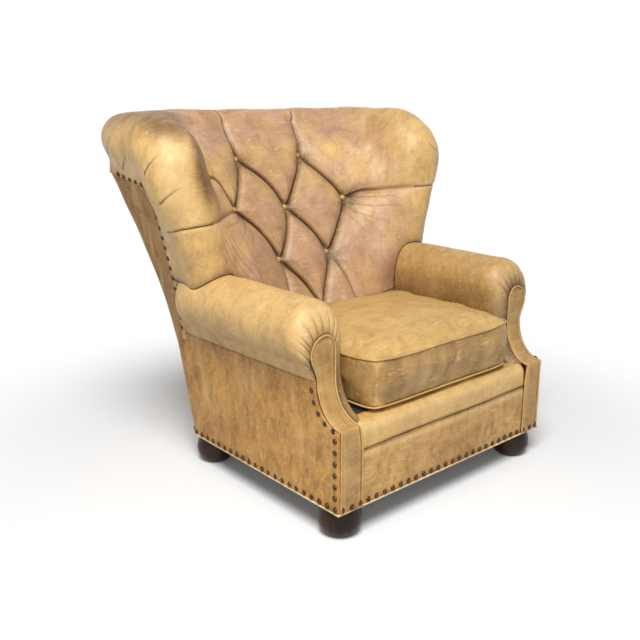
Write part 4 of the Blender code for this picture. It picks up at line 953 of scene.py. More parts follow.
def tuft_cover(tuft):
    """Points and marks of the tufted back's cover."""
    sides = steps((0, BACK_COLUMNS, 110), (BACK_COLUMNS, BACK_COLUMNS + 1, 40),
                  (BACK_COLUMNS + 1, BACK_COLUMNS + ROLL_LAYERS, 48))
    rows = steps((0, BACK_ROWS, 160), (BACK_ROWS, BACK_ROWS + 1, 20),
                 (BACK_ROWS + 1, BACK_ROWS + ROLL_LAYERS, 48))
    half = numpy.array([[plain_cover(side, row) for row in rows] for side in sides])
    half[0, :, 0] = 0.0
    points = numpy.concatenate([half[:0:-1] * (-1.0, 1.0, 1.0), half])
    sides = numpy.concatenate([-sides[:0:-1], sides])
    normals = grid_normals(points)
    side, row = numpy.meshgrid(sides, rows, indexing="ij")
    pillow, fold, lip, crease, signed, dim = numpy.zeros((6, *side.shape))
    nearest = numpy.full(side.shape, FAR_OFF)
    for kind, lines in (("pleat", pleat_lines()), ("groove", groove_lines())):
        depth, thin, lip_at, lip_width, shadows = LINE_KINDS[kind]
        for line in lay_lines(half, lines):
            distance, strength, upper = from_line(points, normals, line, tuft.pillow_reach)
            if kind == "pleat":
                swell = 1.0 - numpy.clip(distance / tuft.pillow_reach, 0.0, 1.0)
                tuck = 1.0 - numpy.clip(distance / tuft.tuck_reach, 0.0, 1.0)
                tuck = 1.0 - numpy.sqrt(1.0 - tuck * tuck)
                pillow = numpy.maximum(pillow, strength * blend(swell * swell, tuck, TUCK_SHARE))
            shadow = sum(amount * numpy.exp(-distance / reach) for amount, reach in shadows)
            dim = numpy.maximum(dim, strength * shadow)
            lip = numpy.maximum(lip, 0.5 * strength * numpy.exp(-((distance - lip_at) / lip_width) ** 2))
            fold = numpy.maximum(fold, depth * strength * numpy.exp(-(distance / tuft.groove_width) ** 2))
            closer = distance < nearest
            nearest = numpy.where(closer, distance, nearest)
            signed = numpy.where(closer, thin * distance * upper, signed)
            crease = numpy.where(closer, strength * smooth((CREASE_REACH - distance) / CREASE_FADE), crease)
    button = numpy.full(side.shape, FAR_OFF)
    for spot in TUFT_BUTTONS:
        button = numpy.minimum(button, numpy.linalg.norm(points - numpy.array(tuft_place(*spot)), axis=-1))
    drawn = (1.0 - numpy.clip(button / BUTTON_DRAW, 0.0, 1.0)) ** BUTTON_DRAW_POWER
    sink = tuft.pleat_depth * pillow + tuft.button_depth * drawn + tuft.groove_depth * fold - FOLD_LIP * lip
    sink -= uneven(points, "back")
    edge = numpy.maximum(numpy.abs(side) - BACK_COLUMNS, row - BACK_ROWS)
    sink *= smooth((ROLL_LAYERS - EDGE_FLAT - edge) / EDGE_EASE)
    across, height = numpy.abs(points[..., 0]), points[..., 2]
    bloom, soil_and_shade, rubbed_and_highlight = back_wear(points, edge)
    joint = numpy.hypot(across - ARM_ROLL_X, height - ARM_ROLL_Z) - ARM_ROLL_RADIUS
    joint = numpy.where(height < ARM_ROLL_Z, SEAT_HALF - across, joint)
    joint = numpy.abs(numpy.where(points[..., 1] < ARM_BACK, joint, FAR_OFF))
    signed = numpy.where(joint < nearest, joint, signed)
    crease = numpy.where(joint < nearest, smooth((CREASE_REACH - joint) / CREASE_FADE), crease)
    # Painted shade beside the pleats, in the joint of arm and back, and round each button
    soil_and_shade = numpy.maximum(numpy.maximum(soil_and_shade, dim), 0.9 * numpy.exp(-joint / JOINT_SHADE_REACH))
    soil_and_shade += 0.7 * numpy.exp(-(button / BUTTON_SHADE_REACH) ** 2)
    # Painted highlights on the pleats' lips and the roll's crown, and painted dark lines of shade along the
    # folds
    marks = {"crease": crease, "fold": numpy.clip(signed / FOLD_SCALE, -1.0, 1.0), "rub_and_highlight": lip + rubbed_and_highlight,
             "bloom": numpy.clip(bloom, 0.0, 1.0), "soil_and_shade": numpy.clip(soil_and_shade, 0.0, 1.0)}
    level = smooth((1.0 - edge) / 2.0)[..., None]
    inwards = blend(-normals, numpy.array((0.0, 1.0, 0.0)), level)
    inwards /= numpy.linalg.norm(inwards, axis=-1, keepdims=True)
    return points + inwards * sink[..., None], marks


# Shape of the arms

def arm_outer(cell):
    if cell <= ARM_WALL_CELLS:
        return SEAT_HALF, blend(DECK_TOP + GAP, ARM_ROLL_Z, cell / ARM_WALL_CELLS)
    last = ARM_WALL_CELLS + ARM_ARC_CELLS
    turn = blend(math.pi, -ARM_TUCK_ANGLE, min(cell - ARM_WALL_CELLS, ARM_ARC_CELLS) / ARM_ARC_CELLS)
    across = ARM_ROLL_X + ARM_ROLL_RADIUS * math.cos(turn)
    height = ARM_ROLL_Z + ARM_ROLL_RADIUS * math.sin(turn)
    share = max(0.0, cell - last)
    return blend(across, BASE_HALF, share), blend(height, ARM_UNDERSIDE, share)


def inner_strip(height):
    """Width of arm cover that shows beside the facing, on the seat's side."""
    return INNER_STRIP * smooth((height - LIP_SEAM) / (BLOCK_TOP + STRIP_RISE - LIP_SEAM))


def arm_seam(cell):
    radius = FACING_HALF_WIDTH + FACING_SEAM
    if cell <= ARM_WALL_CELLS:
        height = blend(DECK_TOP + GAP, FACING_CENTRE_Z, cell / ARM_WALL_CELLS)
        return ARM_ROLL_X - radius + inner_strip(height), height
    turn = blend(math.pi, -ARM_TUCK_ANGLE, (cell - ARM_WALL_CELLS) / ARM_ARC_CELLS)
    if turn >= 0.0:
        across = radius - (INNER_STRIP if turn > math.pi / 2 else 0.0)
        return ARM_ROLL_X + across * math.cos(turn), FACING_CENTRE_Z + radius * math.sin(turn)
    last = ARM_WALL_CELLS + ARM_ARC_CELLS + 1
    drop = (cell - last) / (ARM_ARC_CELLS * ARM_TUCK_ANGLE / (math.pi + ARM_TUCK_ANGLE) + 1.0) + 1.0
    height = blend(FACING_CENTRE_Z, ARM_UNDERSIDE, min(drop, 1.0))
    return facing_outer_x(height) + WAIST_SEAM * smooth(4 * drop), height


def arm_skin(cell, row):
    across, height = arm_outer(cell)
    seam_x, seam_z = arm_seam(cell)
    front = facing_depth(max(seam_z, BLOCK_TOP))
    if row <= ARM_FRONT_CELLS:
        turn = math.pi / 2 * (1.0 - row / ARM_FRONT_CELLS)
        share = math.cos(turn)
        depth = front + ARM_FRONT_ROUND * (1.0 - math.sin(turn))
        return Vector((blend(seam_x, across, share), depth, blend(seam_z, height, share)))
    straight_end = ARM_BACK - ARM_REAR_ROUND
    run = row - ARM_FRONT_CELLS
    if run <= ARM_RUN_CELLS:
        return Vector((across, blend(front + ARM_FRONT_ROUND, straight_end, run / ARM_RUN_CELLS), height))
    turn = ARM_REAR_TURN * (run - ARM_RUN_CELLS) / ARM_REAR_CELLS
    drawn_in = max(0.0, across - BASE_HALF) * (1.0 - math.cos(turn))
    return Vector((across - drawn_in, straight_end + ARM_REAR_ROUND * math.sin(turn), height))


def arm_cover():
    """Points and marks of an arm's cover, with gathers fanning out from the facing."""
    cells = steps((0, ARM_WALL_CELLS, 24), (ARM_WALL_CELLS, ARM_WALL_CELLS + ARM_ARC_CELLS, 108),
                  (ARM_WALL_CELLS + ARM_ARC_CELLS, ARM_WALL_CELLS + ARM_ARC_CELLS + 1, 12))
    end = ARM_FRONT_CELLS + ARM_RUN_CELLS
    rows = steps((0, ARM_FRONT_CELLS, 36), (ARM_FRONT_CELLS, end, 44), (end, end + ARM_REAR_CELLS, 14))
    points = numpy.array([[arm_skin(cell, row) for row in rows] for cell in cells])
    cell, row = numpy.meshgrid(cells, rows, indexing="ij")
    fan = numpy.zeros(cell.shape)
    draws = numpy.random.default_rng(11)
    for middle in numpy.linspace(*GATHER_SPAN, ARM_GATHERS):
        middle += draws.uniform(-GATHER_STRAY, GATHER_STRAY)
        length = draws.uniform(*GATHER_LENGTH)
        lean = draws.uniform(-GATHER_LEAN, GATHER_LEAN)
        width = 0.07 + 0.05 * row
        fade = smooth(1.0 - row / length) * smooth(row / 0.25)
        fan += fade * numpy.exp(-((cell - middle - lean * row) / width) ** 2)
    sink = GATHER_DEPTH * fan - uneven(points, "arm") * smooth(row / 2.0)
    sink *= smooth((ARM_WALL_CELLS + ARM_ARC_CELLS + 1 - cell) / 0.6)
    seam = numpy.exp(-(row / 0.16) ** 2)
    # Painted shade: dark lines in the gathers and at the front seam
    crease = numpy.clip(0.75 * fan ** 2 + 0.55 * seam, 0.0, 1.0)
    # Painted shade under the roll and at the front seam, darker also low on the inside and towards the front;
    # a paler band round the front
    marks = {"crease": crease, "rub_and_highlight": smooth(1.0 - numpy.abs(row - 1.6) / 1.8) * 0.5,
             "bloom": smooth((5.0 - cell) / 4.0),
             "soil_and_shade": 0.5 * smooth((3.6 - cell) / 2.5) + 0.25 * smooth((3.0 - row) / 3.0)
             + 0.5 * smooth((cell - 9.0) / 3.0) + 0.5 * numpy.exp(-row / 0.5)}
    return points - grid_normals(points) * sink[..., None], marks


# Shape of the flat covers

def facing_heights():
    """Heights up the arm front, closer where the cove turns and over the rounded top."""
    fine = FACING_FINENESS
    heights = list(steps((FOOT_HEIGHT, BLOCK_TOP, 5 * fine)))
    count = COVE_CELLS * fine
    turns = [math.pi / 2 * step / count for step in range(1, count + 1)]
    heights += [ARM_UNDERSIDE - COVE_RISE * math.cos(turn) for turn in turns]
    heights += list(steps((ARM_UNDERSIDE, FACING_CENTRE_Z, 2 * fine)))[1:]
    turns = [math.pi / 2 * step / (5 * fine) for step in range(1, 5 * fine)]
    return heights + [FACING_CENTRE_Z + FACING_HALF_WIDTH * math.sin(turn) for turn in turns]


def facing_edges(height):
    rise = max(0.0, (height - FACING_CENTRE_Z) / FACING_HALF_WIDTH)
    shrink = math.sqrt(max(0.0, 1.0 - rise * rise))
    outer = ARM_ROLL_X + FACING_HALF_WIDTH * shrink if rise else facing_outer_x(height)
    return ARM_ROLL_X - (FACING_HALF_WIDTH - inner_strip(height)) * shrink, outer


def facing_swell(share):
    """How far the padding under a facing pushes it forward, from its inner edge to its outer one."""
    return FACING_SWELL * (1.0 - (2.0 * share - 1.0) ** 4)


def facing_cover():
    heights = facing_heights()
    shares = steps((0.0, 1.0, 14))
    points = []
    for share in shares:
        line = []
        for height in heights:
            inner, outer = facing_edges(height)
            swell = facing_swell(share) * smooth((FACING_TOP - height) / FACING_TOP_EASE)
            line.append((blend(inner, outer, share), facing_depth(height) - swell + FACING_SINK, height))
        points.append(line)
    points = numpy.array(points)
    edge = numpy.minimum(shares, 1.0 - shares)[:, None] * numpy.ones(len(heights))
    # Painted shade darkens the facing towards its welted edges, and a painted highlight runs a little inside
    # them
    marks = {"crease": 0.5 * numpy.exp(-(edge / 0.03) ** 2),
             "rub_and_highlight": 0.4 * numpy.exp(-((edge - 0.12) / 0.08) ** 2),
             "bloom": 0.25 * numpy.ones(edge.shape), "soil_and_shade": 0.33 + 0.40 * numpy.exp(-edge / 0.05)}
    return points - grid_normals(points) * uneven(points, "facing")[..., None], marks


def facing_outline():
    """Line of a facing's welt: up its inner edge and down its outer one."""
    rise = [(facing_edges(height), facing_depth(height) - WELT_PROUD, height) for height in facing_heights()]
    outline = [(edges[0], depth, height) for edges, depth, height in rise]
    return outline + [(edges[1], depth, height) for edges, depth, height in reversed(rise)]


def wing_run(share, height):
    straight = side_run(height)
    if share <= 0.5:
        return blend(min(WING_NAIL_DEPTH, straight - CORNER_RADIUS), straight, 2 * share)
    return straight + CORNER_RADIUS * math.pi / 4 * (2 * share - 1.0)


def arm_panel_cover():
    """Outside of arm and wing, and which points lie above the arm, where there is no panel."""
    heights = facing_heights()[:1 + (5 + COVE_CELLS) * FACING_FINENESS]
    last = len(heights) - 1
    columns = steps((0, PANEL_ARM_CELLS, 50), (PANEL_ARM_CELLS, PANEL_ARM_CELLS + PANEL_WING_CELLS, 28))
    points = []
    for column in columns:
        share = max(0.0, column - PANEL_ARM_CELLS) / PANEL_WING_CELLS
        line = []
        for height in heights:
            run = wing_run(share, height)
            if column < PANEL_ARM_CELLS:
                run = blend(facing_depth(height), wing_run(0.0, height), column / PANEL_ARM_CELLS)
            line.append(shell_point(run, height))
        top = nail_height(wing_run(share, NAIL_BACK_HEIGHT))
        for climb in steps((0.0, 1.0, 8 * PANEL_WING_ROWS))[1:]:
            height = blend(ARM_UNDERSIDE, top, climb)
            line.append(shell_point(wing_run(share, height), height))
        points.append(line)
    points = numpy.array(points)
    empty = numpy.zeros(points.shape[:2], dtype=bool)
    empty[columns < PANEL_ARM_CELLS, last + 1:] = True
    seam = numpy.exp(-((columns[-1] - columns) / 0.10) ** 2)[:, None] * numpy.ones(points.shape[1])
    streak = 0.5 + 0.5 * ripple(points * (1.0, 1.0, 0.12), 0.030, 21)
    streak = smooth((points[..., 2] - 0.12) / 0.1) * streak
    marks = {"crease": 0.8 * seam, "rub_and_highlight": numpy.clip(streak - 0.55, 0.0, 1.0),
             "soil_and_shade": 0.1 + 0.5 * smooth((points[..., 2] - 0.30) / 0.14), "empty": empty.astype(float)}
    return points + grid_normals(points) * uneven(points, "arm_panel")[..., None], marks


def back_panel_cover():
    heights = steps((FOOT_HEIGHT, NAIL_BACK_HEIGHT, 64))
    shares = steps((-1.0, 1.0, 96))
    points = []
    for share in shares:
        line = []
        for height in heights:
            seam = side_run(height) + CORNER_RADIUS * math.pi / 4
            point = shell_point(blend(shell_length(height), seam, abs(share)), height)
            line.append((-math.copysign(point.x, share), point.y, point.z))
        points.append(line)
    points = numpy.array(points)
    seam = numpy.exp(-((1.0 - numpy.abs(shares)) / 0.012) ** 2)[:, None] * numpy.ones(len(heights))
    marks = {"crease": 0.8 * seam, "soil_and_shade": 0.15 * numpy.ones(seam.shape)}
    return points + grid_normals(points) * uneven(points, "back_panel")[..., None], marks


def border_cover(across):
    heights = steps((FOOT_HEIGHT, LIP_SEAM, 24))
    points = numpy.array([[(x, 0.0, z) for z in heights] for x in across])
    rise = (points[..., 2] - FOOT_HEIGHT) / (LIP_SEAM - FOOT_HEIGHT)
    points[..., 1] = BORDER_EASE * (2 * rise - 1.0) ** 6 + uneven(points, "border")
    marks = {"crease": 0.7 * numpy.exp(-((1.0 - rise) / 0.03) ** 2),
             "rub_and_highlight": 0.8 * numpy.exp(-((rise - 0.9) / 0.06) ** 2), "soil_and_shade": 0.15 * numpy.ones(rise.shape)}
    return points, marks


def lip_cover(across):
    """The lip, up from its seam, over its round and back along the deck."""
    low = LIP_SEAM - LIP_LAP
    profile = [(LIP_TUCK[0], low)]
    for share in steps((0.0, 1.0, 8)):
        profile.append((blend(*LIP_SET, share), blend(low + LIP_TUCK[1], DECK_TOP - LIP_ROUND, share)))
    for step in range(1, LIP_STEPS + 1):
        turn = math.pi / 2 * step / LIP_STEPS
        depth = LIP_ROUND - (LIP_ROUND - LIP_SET[1]) * math.cos(turn)
        profile.append((depth, DECK_TOP - LIP_ROUND * (1.0 - math.sin(turn))))
    profile += [(blend(LIP_ROUND, LIP_DEEP, share), DECK_TOP) for share in (0.35, 0.7, 1.0)]
    points = numpy.array([[(x, depth, z) for depth, z in profile] for x in across])
    rise = numpy.arange(len(profile)) / (len(profile) - 1.0) * numpy.ones(points.shape[:2])
    # A painted line of shade at the seam, and a painted highlight over the round
    marks = {"crease": 0.9 * numpy.exp(-(rise / 0.03) ** 2),
             "rub_and_highlight": 0.6 * numpy.exp(-((rise - 0.5) / 0.15) ** 2), "bloom": 0.5 * numpy.ones(rise.shape)}
    return points - grid_normals(points) * uneven(points, "lip")[..., None], marks


def base_ring():
    """Line of the base welt: back along the right, round to the left, and across the front."""
    base = FOOT_HEIGHT + BASE_WELT_RISE
    runs = numpy.linspace(0.0, shell_length(FOOT_HEIGHT), 90)
    right = [shell_point(run, FOOT_HEIGHT) for run in runs]
    ring = [(place.x, place.y, base) for place in right]
    ring += [(-place.x, place.y, base) for place in right[-2::-1]]
    shares = numpy.linspace(0.0, 1.0, 40)[1:-1]
    return ring + [(blend(-BASE_HALF, BASE_HALF, share), 0.0, base) for share in shares]


# Shape of the seat cushion

def cushion_point(u, v, w, crown):
    half_across = SEAT_HALF - CUSHION_CLEARANCE
    front, back = CUSHION_SETBACK, BACK_SEAT_DEPTH - CUSHION_CLEARANCE
    half_deep = (back - front) / 2
    trim = CUSHION_CORNER * (u * v) ** 6 + CUSHION_BULGE * w * w
    across = u * (half_across - trim - CUSHION_DRAW * (1.0 - v * v) * abs(u) ** 3)
    deep = v * (half_deep - trim - CUSHION_DRAW * (1.0 - u * u) * abs(v) ** 3)
    low = DECK_TOP + GAP + CUSHION_EDGE_LIFT * max(abs(u), abs(v)) ** 6
    high = DECK_TOP + GAP + CUSHION_EDGE_LIFT + CUSHION_BAND
    high += crown * math.sqrt(max(0.0, (1.0 - u * u) * (1.0 - v * v)))
    return Vector((across, (front + back) / 2 + deep, blend(low, high, (w + 1.0) / 2)))


def cushion_ring(w, offset, crown):
    """The sewn edge of the cushion, as a closed line just outside it."""
    cells = RING_CELLS
    ring = [(2 * step / cells - 1.0, -1.0) for step in range(cells)]
    ring += [(1.0, 2 * step / cells - 1.0) for step in range(cells)]
    ring += [(1.0 - 2 * step / cells, 1.0) for step in range(cells)]
    ring += [(-1.0, 1.0 - 2 * step / cells) for step in range(cells)]
    places = [cushion_point(u, v, w, crown) for u, v in ring]
    points = []
    for index, place in enumerate(places):
        run = places[(index + 1) % len(places)] - places[index - 1]
        out = Vector((run.y, -run.x, 0.0)).normalized()
        points.append(place + out * offset + Vector((0.0, 0.0, w * offset)))
    return points


def cushion_shares(places, crown):
    """Where points of the cushion lie across, along and up it, from -1 to 1."""
    half_across = SEAT_HALF - CUSHION_CLEARANCE
    front, back = CUSHION_SETBACK, BACK_SEAT_DEPTH - CUSHION_CLEARANCE
    u = numpy.clip(places[:, 0] / half_across, -1.0, 1.0)
    v = numpy.clip((places[:, 1] - (front + back) / 2) / ((back - front) / 2), -1.0, 1.0)
    low = DECK_TOP + GAP + CUSHION_EDGE_LIFT * numpy.maximum(abs(u), abs(v)) ** 6
    high = DECK_TOP + GAP + CUSHION_EDGE_LIFT + CUSHION_BAND
    high = high + crown * numpy.sqrt((1.0 - u * u) * (1.0 - v * v))
    return u, v, 2 * (places[:, 2] - low) / (high - low) - 1.0


def filled_out(piece, v, w):
    """How far each point moves when the cover is blown up as cloth, held back where the chair is close."""
    start = places_of(piece)
    trial = piece.copy()
    trial.data = piece.data.copy()
    bpy.context.scene.collection.objects.link(trial)
    cloth = trial.modifiers.new("fill", "CLOTH")
    cloth.settings.use_pressure = True
    cloth.settings.uniform_pressure_force = CUSHION_PRESSURE
    cloth.settings.effector_weights.gravity = 0.0
    for moment in range(1, CLOTH_FRAMES + 1):
        bpy.context.scene.frame_set(moment)
    select_only(trial)
    bpy.ops.object.modifier_apply(modifier=cloth.name)
    moved = places_of(trial) - start
    bpy.data.objects.remove(trial, do_unlink=True)
    bpy.context.scene.frame_set(1)
    forward = smooth((-v - 0.8) / 0.15)
    room = blend(SIDE_ROOM, FRONT_ROOM, forward)[:, None]
    size = numpy.linalg.norm(moved[:, :2], axis=1, keepdims=True)
    moved[:, :2] *= numpy.minimum(1.0, room / numpy.maximum(size, 1e-9))
    moved[:, 2] = numpy.clip(moved[:, 2], -BOTTOM_ROOM, TOP_ROOM) * smooth((w + 0.9) / 0.6)
    return moved


# Places of the nails

def nail_rows(spacing):
    """Every row of nails, as places and the way each one faces."""
    rows = {}
    height = FOOT_HEIGHT + NAIL_RISE
    forward = Vector((0.0, -1.0, 0.0))
    count = round(2 * (BASE_HALF - NAIL_SET) / spacing)
    inner, outer = facing_edges(height)
    rows["nails_front"] = []
    for x in numpy.linspace(NAIL_SET - BASE_HALF, BASE_HALF - NAIL_SET, count + 1):
        share = (abs(x) - inner) / (outer - inner)
        swell = facing_swell(share) if share > 0.0 else 0.0
        rows["nails_front"].append((Vector((x, NAIL_PROUD - swell, height)), forward))
    length = shell_length(height)
    count = round((2 * length - 2 * NAIL_SET) / spacing)
    base = []
    for run in numpy.linspace(NAIL_SET, 2 * length - NAIL_SET, count + 1):
        near = min(run, 2 * length - run)
        base.append((shell_point(near, height), shell_out(near, height), run > length))
    rows["nails_base"] = [turned_seat(place, out, -1.0 if far else 1.0) for place, out, far in base]
    wing = [seat for seat in along_line(wing_seat, NAIL_LINE_STEPS, spacing)
            if seat[0].y < CORNER_DEPTH or seat[0].x < CORNER_REACH]
    front = along_line(front_seat, NAIL_LINE_STEPS // 2, spacing)
    for side, sign in SIDES:
        rows["nails_rim_" + side] = [turned_seat(place, out, sign) for place, out in wing]
        rows["nails_arm_" + side] = [turned_seat(place, out, sign) for place, out in front]
    return rows


def turned_seat(place, out, sign):
    return Vector((sign * place.x, place.y, place.z)), Vector((sign * out.x, out.y, out.z))


def along_line(seat_at, count, spacing):
    """Pick seats a spacing apart along a fine line of them."""
    line = [seat_at(step / count) for step in range(count + 1)]
    picked, travelled = [line[0]], 0.0
    for before, seat in zip(line, line[1:]):
        travelled += (seat[0] - before[0]).length
        if travelled >= spacing:
            picked.append(seat)
            travelled -= spacing
    return picked


def wing_seat(share):
    """Up the wing's front edge, then back under the roll to the middle of the back."""
    if share < WING_NAIL_SHARE:
        run = WING_NAIL_DEPTH
        height = blend(ARM_UNDERSIDE + WING_NAIL_FOOT, NAIL_SIDE_HEIGHT, share / WING_NAIL_SHARE)
    else:
        back = (share - WING_NAIL_SHARE) / (1.0 - WING_NAIL_SHARE)
        run = blend(WING_NAIL_DEPTH, shell_length(NAIL_BACK_HEIGHT), back)
        height = nail_height(run)
    out = shell_out(run, height)
    return shell_point(run, height) + out * (LAP_PROUD + NAIL_PROUD), out


def front_seat(share):
    """Up the side's front edge, from the base round the cove to the roll."""
    height = blend(FOOT_HEIGHT + NAIL_RISE + ARM_NAIL_FOOT, ARM_UNDERSIDE - ARM_NAIL_TOP, share)
    run = facing_depth(height) + ARM_NAIL_SET
    return shell_point(run, height), shell_out(run, height)


# Node groups and materials

def new_group(name, inputs, outputs):
    group = bpy.data.node_groups.new(name, "ShaderNodeTree")
    for label, kind, value in inputs:
        socket = group.interface.new_socket(label, in_out="INPUT", socket_type=kind)
        if value is not None:
            socket.default_value = value
    for label, kind in outputs:
        group.interface.new_socket(label, in_out="OUTPUT", socket_type=kind)
    return group


def add_node(tree, kind, **settings):
    node = tree.nodes.new(kind)
    for setting, value in settings.items():
        setattr(node, setting, value)
    return node


def put(tree, socket, value):
    """Link a socket, or set its value."""
    if isinstance(value, bpy.types.NodeSocket):
        tree.links.new(value, socket)
    else:
        socket.default_value = value


def object_vector(tree):
    return add_node(tree, "ShaderNodeTexCoord").outputs["Object"]


def noise(tree, vector, scale, detail=4.0, roughness=0.6, distortion=0.0):
    node = add_node(tree, "ShaderNodeTexNoise")
    for label, value in (("Vector", vector), ("Scale", scale), ("Detail", detail), ("Roughness", roughness),
                         ("Distortion", distortion)):
        put(tree, node.inputs[label], value)
    return node.outputs["Fac"]


def stretch(tree, vector, scale, turn=(0.0, 0.0, 0.0)):
    node = add_node(tree, "ShaderNodeMapping")
    put(tree, node.inputs["Vector"], vector)
    put(tree, node.inputs["Scale"], scale)
    put(tree, node.inputs["Rotation"], turn)
    return node.outputs["Vector"]


def remap(tree, value, low, high, to_low=0.0, to_high=1.0):
    node = add_node(tree, "ShaderNodeMapRange", interpolation_type="SMOOTHSTEP")
    for index, amount in enumerate((value, low, high, to_low, to_high)):
        put(tree, node.inputs[index], amount)
    return node.outputs[0]


def sums(tree, operation, first, second):
    node = add_node(tree, "ShaderNodeMath", operation=operation)
    put(tree, node.inputs[0], first)
    put(tree, node.inputs[1], second)
    return node.outputs[0]


def times(tree, first, second):
    return sums(tree, "MULTIPLY", first, second)


def mixed(tree, share, first, second):
    node = add_node(tree, "ShaderNodeMix", data_type="RGBA")
    put(tree, node.inputs["Factor"], share)
    for socket, value in ((node.inputs[6], first), (node.inputs[7], second)):
        put(tree, socket, value if isinstance(value, bpy.types.NodeSocket) else (*value, 1.0))
    return node.outputs[2]


def bumped(tree, shader, height, distance, strength=1.0):
    bump = add_node(tree, "ShaderNodeBump")
    bump.inputs["Strength"].default_value = strength
    bump.inputs["Distance"].default_value = distance
    put(tree, bump.inputs["Height"], height)
    put(tree, shader.inputs["Normal"], bump.outputs["Normal"])


def seen_ray(tree):
    """Rays that show a thing to the camera: straight, mirrored or passed through."""
    path = add_node(tree, "ShaderNodeLightPath")
    seen = sums(tree, "MAXIMUM", path.outputs["Is Camera Ray"], path.outputs["Is Glossy Ray"])
    return sums(tree, "MAXIMUM", seen, path.outputs["Is Transmission Ray"])


def hairlines(tree, vector, scale, turn, mask):
    """Thin scratches: lines of equal height in a drawn-out noise, broken up by a mask."""
    height = noise(tree, stretch(tree, vector, scale, turn), 1.0, 1.0, 0.4, 0.2)
    off = sums(tree, "ABSOLUTE", sums(tree, "SUBTRACT", height, 0.5), 0.0)
    return times(tree, remap(tree, off, 0.002, 0.020, 1.0, 0.0), mask)


def hide_mottle_group():
    """Clouds, blotches, scuffs and grain of a waxed hide."""
    group = new_group("hide_mottle",
                      [("Vector", "NodeSocketVector", None), ("Cloud Scale", "NodeSocketFloat", 6.0)],
                      [(label, "NodeSocketFloat") for label in ("Cloud", "Blotch", "Scuff", "Grain")])
    start = add_node(group, "NodeGroupInput")
    end = add_node(group, "NodeGroupOutput")
    vector = start.outputs["Vector"]
    cloud = remap(group, noise(group, vector, start.outputs["Cloud Scale"], 6.0, 0.68, 0.2), 0.36, 0.68)
    streak = noise(group, stretch(group, vector, (16.0, 70.0, 48.0), (0.5, 0.4, 0.3)), 1.0, 5.0, 0.7, 0.3)
    cloud = sums(group, "ADD", times(group, cloud, 0.6), times(group, remap(group, streak, 0.34, 0.66), 0.4))
    patch = noise(group, stretch(group, vector, (26.0, 26.0, 15.0), (0.3, 0.2, 0.0)), 1.0, 7.0, 0.74, 0.25)
    speck = noise(group, vector, 210.0, 3.0, 0.7)
    blotch = sums(group, "ADD", times(group, patch, 0.78), times(group, speck, 0.22))
    blotch = remap(group, blotch, 0.43, 0.64)
    scuff = 0.0
    for turn, scale in SCRATCHES:
        broken = noise(group, stretch(group, vector, (9.0, 30.0, 30.0), turn), 1.0, 3.0, 0.6)
        broken = remap(group, broken, 0.50, 0.66)
        scuff = sums(group, "MAXIMUM", hairlines(group, vector, scale, turn, broken), scuff)
    rubbed_and_highlight = noise(group, stretch(group, vector, (70.0, 70.0, 22.0), (0.6, 0.2, 0.4)), 1.0, 4.0, 0.7, 0.4)
    scuff = sums(group, "MAXIMUM", scuff, times(group, remap(group, rubbed_and_highlight, 0.60, 0.74), 0.8))
    pores = add_node(group, "ShaderNodeTexVoronoi", feature="SMOOTH_F1")
    put(group, pores.inputs["Vector"], vector)
    put(group, pores.inputs["Scale"], 520.0)
    wrinkle = noise(group, vector, 160.0, 4.0, 0.7, 0.5)
    grain = sums(group, "ADD", times(group, pores.outputs["Distance"], 0.55), wrinkle)
    for label, value in (("Cloud", cloud), ("Blotch", blotch), ("Scuff", scuff), ("Grain", grain)):
        put(group, end.inputs[label], value)


def mark_value(tree, name):
    node = add_node(tree, "ShaderNodeAttribute", attribute_name=name)
    return node.outputs["Fac"]


def new_material(name):
    material = bpy.data.materials.new(name)
    material.use_nodes = True
    return material, material.node_tree, material.node_tree.nodes["Principled BSDF"]


def hide_material(name, look, base, worn, mottle, blotched, scuffed, rough):
    """A cut of hide, with the values that HIDES lists."""
    _, tree, shader = new_material(name)
    group = add_node(tree, "ShaderNodeGroup", node_tree=bpy.data.node_groups["hide_mottle"])
    put(tree, group.inputs["Vector"], object_vector(tree))
    cloud, blotch = group.outputs["Cloud"], group.outputs["Blotch"]
    # Marks that paint light and shade: soil with painted shade darkens the hide, to near black where
    # strongest; rubbed wear with painted highlights pales it; a painted line of shade follows each crease
    soil_and_shade = mark_value(tree, "soil_and_shade")
    shade_and_soil_tone = times(tree, soil_and_shade, remap(tree, cloud, 0.0, 1.0, 0.65, 1.0))
    line = remap(tree, sums(tree, "ABSOLUTE", mark_value(tree, "fold"), 0.0), 0.10, 0.45, 1.0, 0.0)
    colour = mixed(tree, mark_value(tree, "bloom"), base, worn)
    for share, over in ((times(tree, cloud, mottle), look.shade),
                        (times(tree, blotch, blotched), look.shade),
                        (shade_and_soil_tone, look.shade),
                        (times(tree, sums(tree, "POWER", soil_and_shade, 3.0), 0.6), look.seam),
                        (times(tree, group.outputs["Scuff"], scuffed), look.pale),
                        (times(tree, mark_value(tree, "rub_and_highlight"), 0.40), look.pale),
                        (times(tree, mark_value(tree, "crease"), line), look.seam)):
        colour = mixed(tree, share, colour, over)
    put(tree, shader.inputs["Base Color"], colour)
    put(tree, shader.inputs["Roughness"], remap(tree, blotch, 0.0, 1.0, rough - 0.05, rough + 0.10))
    shader.inputs["Specular IOR Level"].default_value = 0.35
    bumped(tree, shader, group.outputs["Grain"], 0.0009, 0.70)


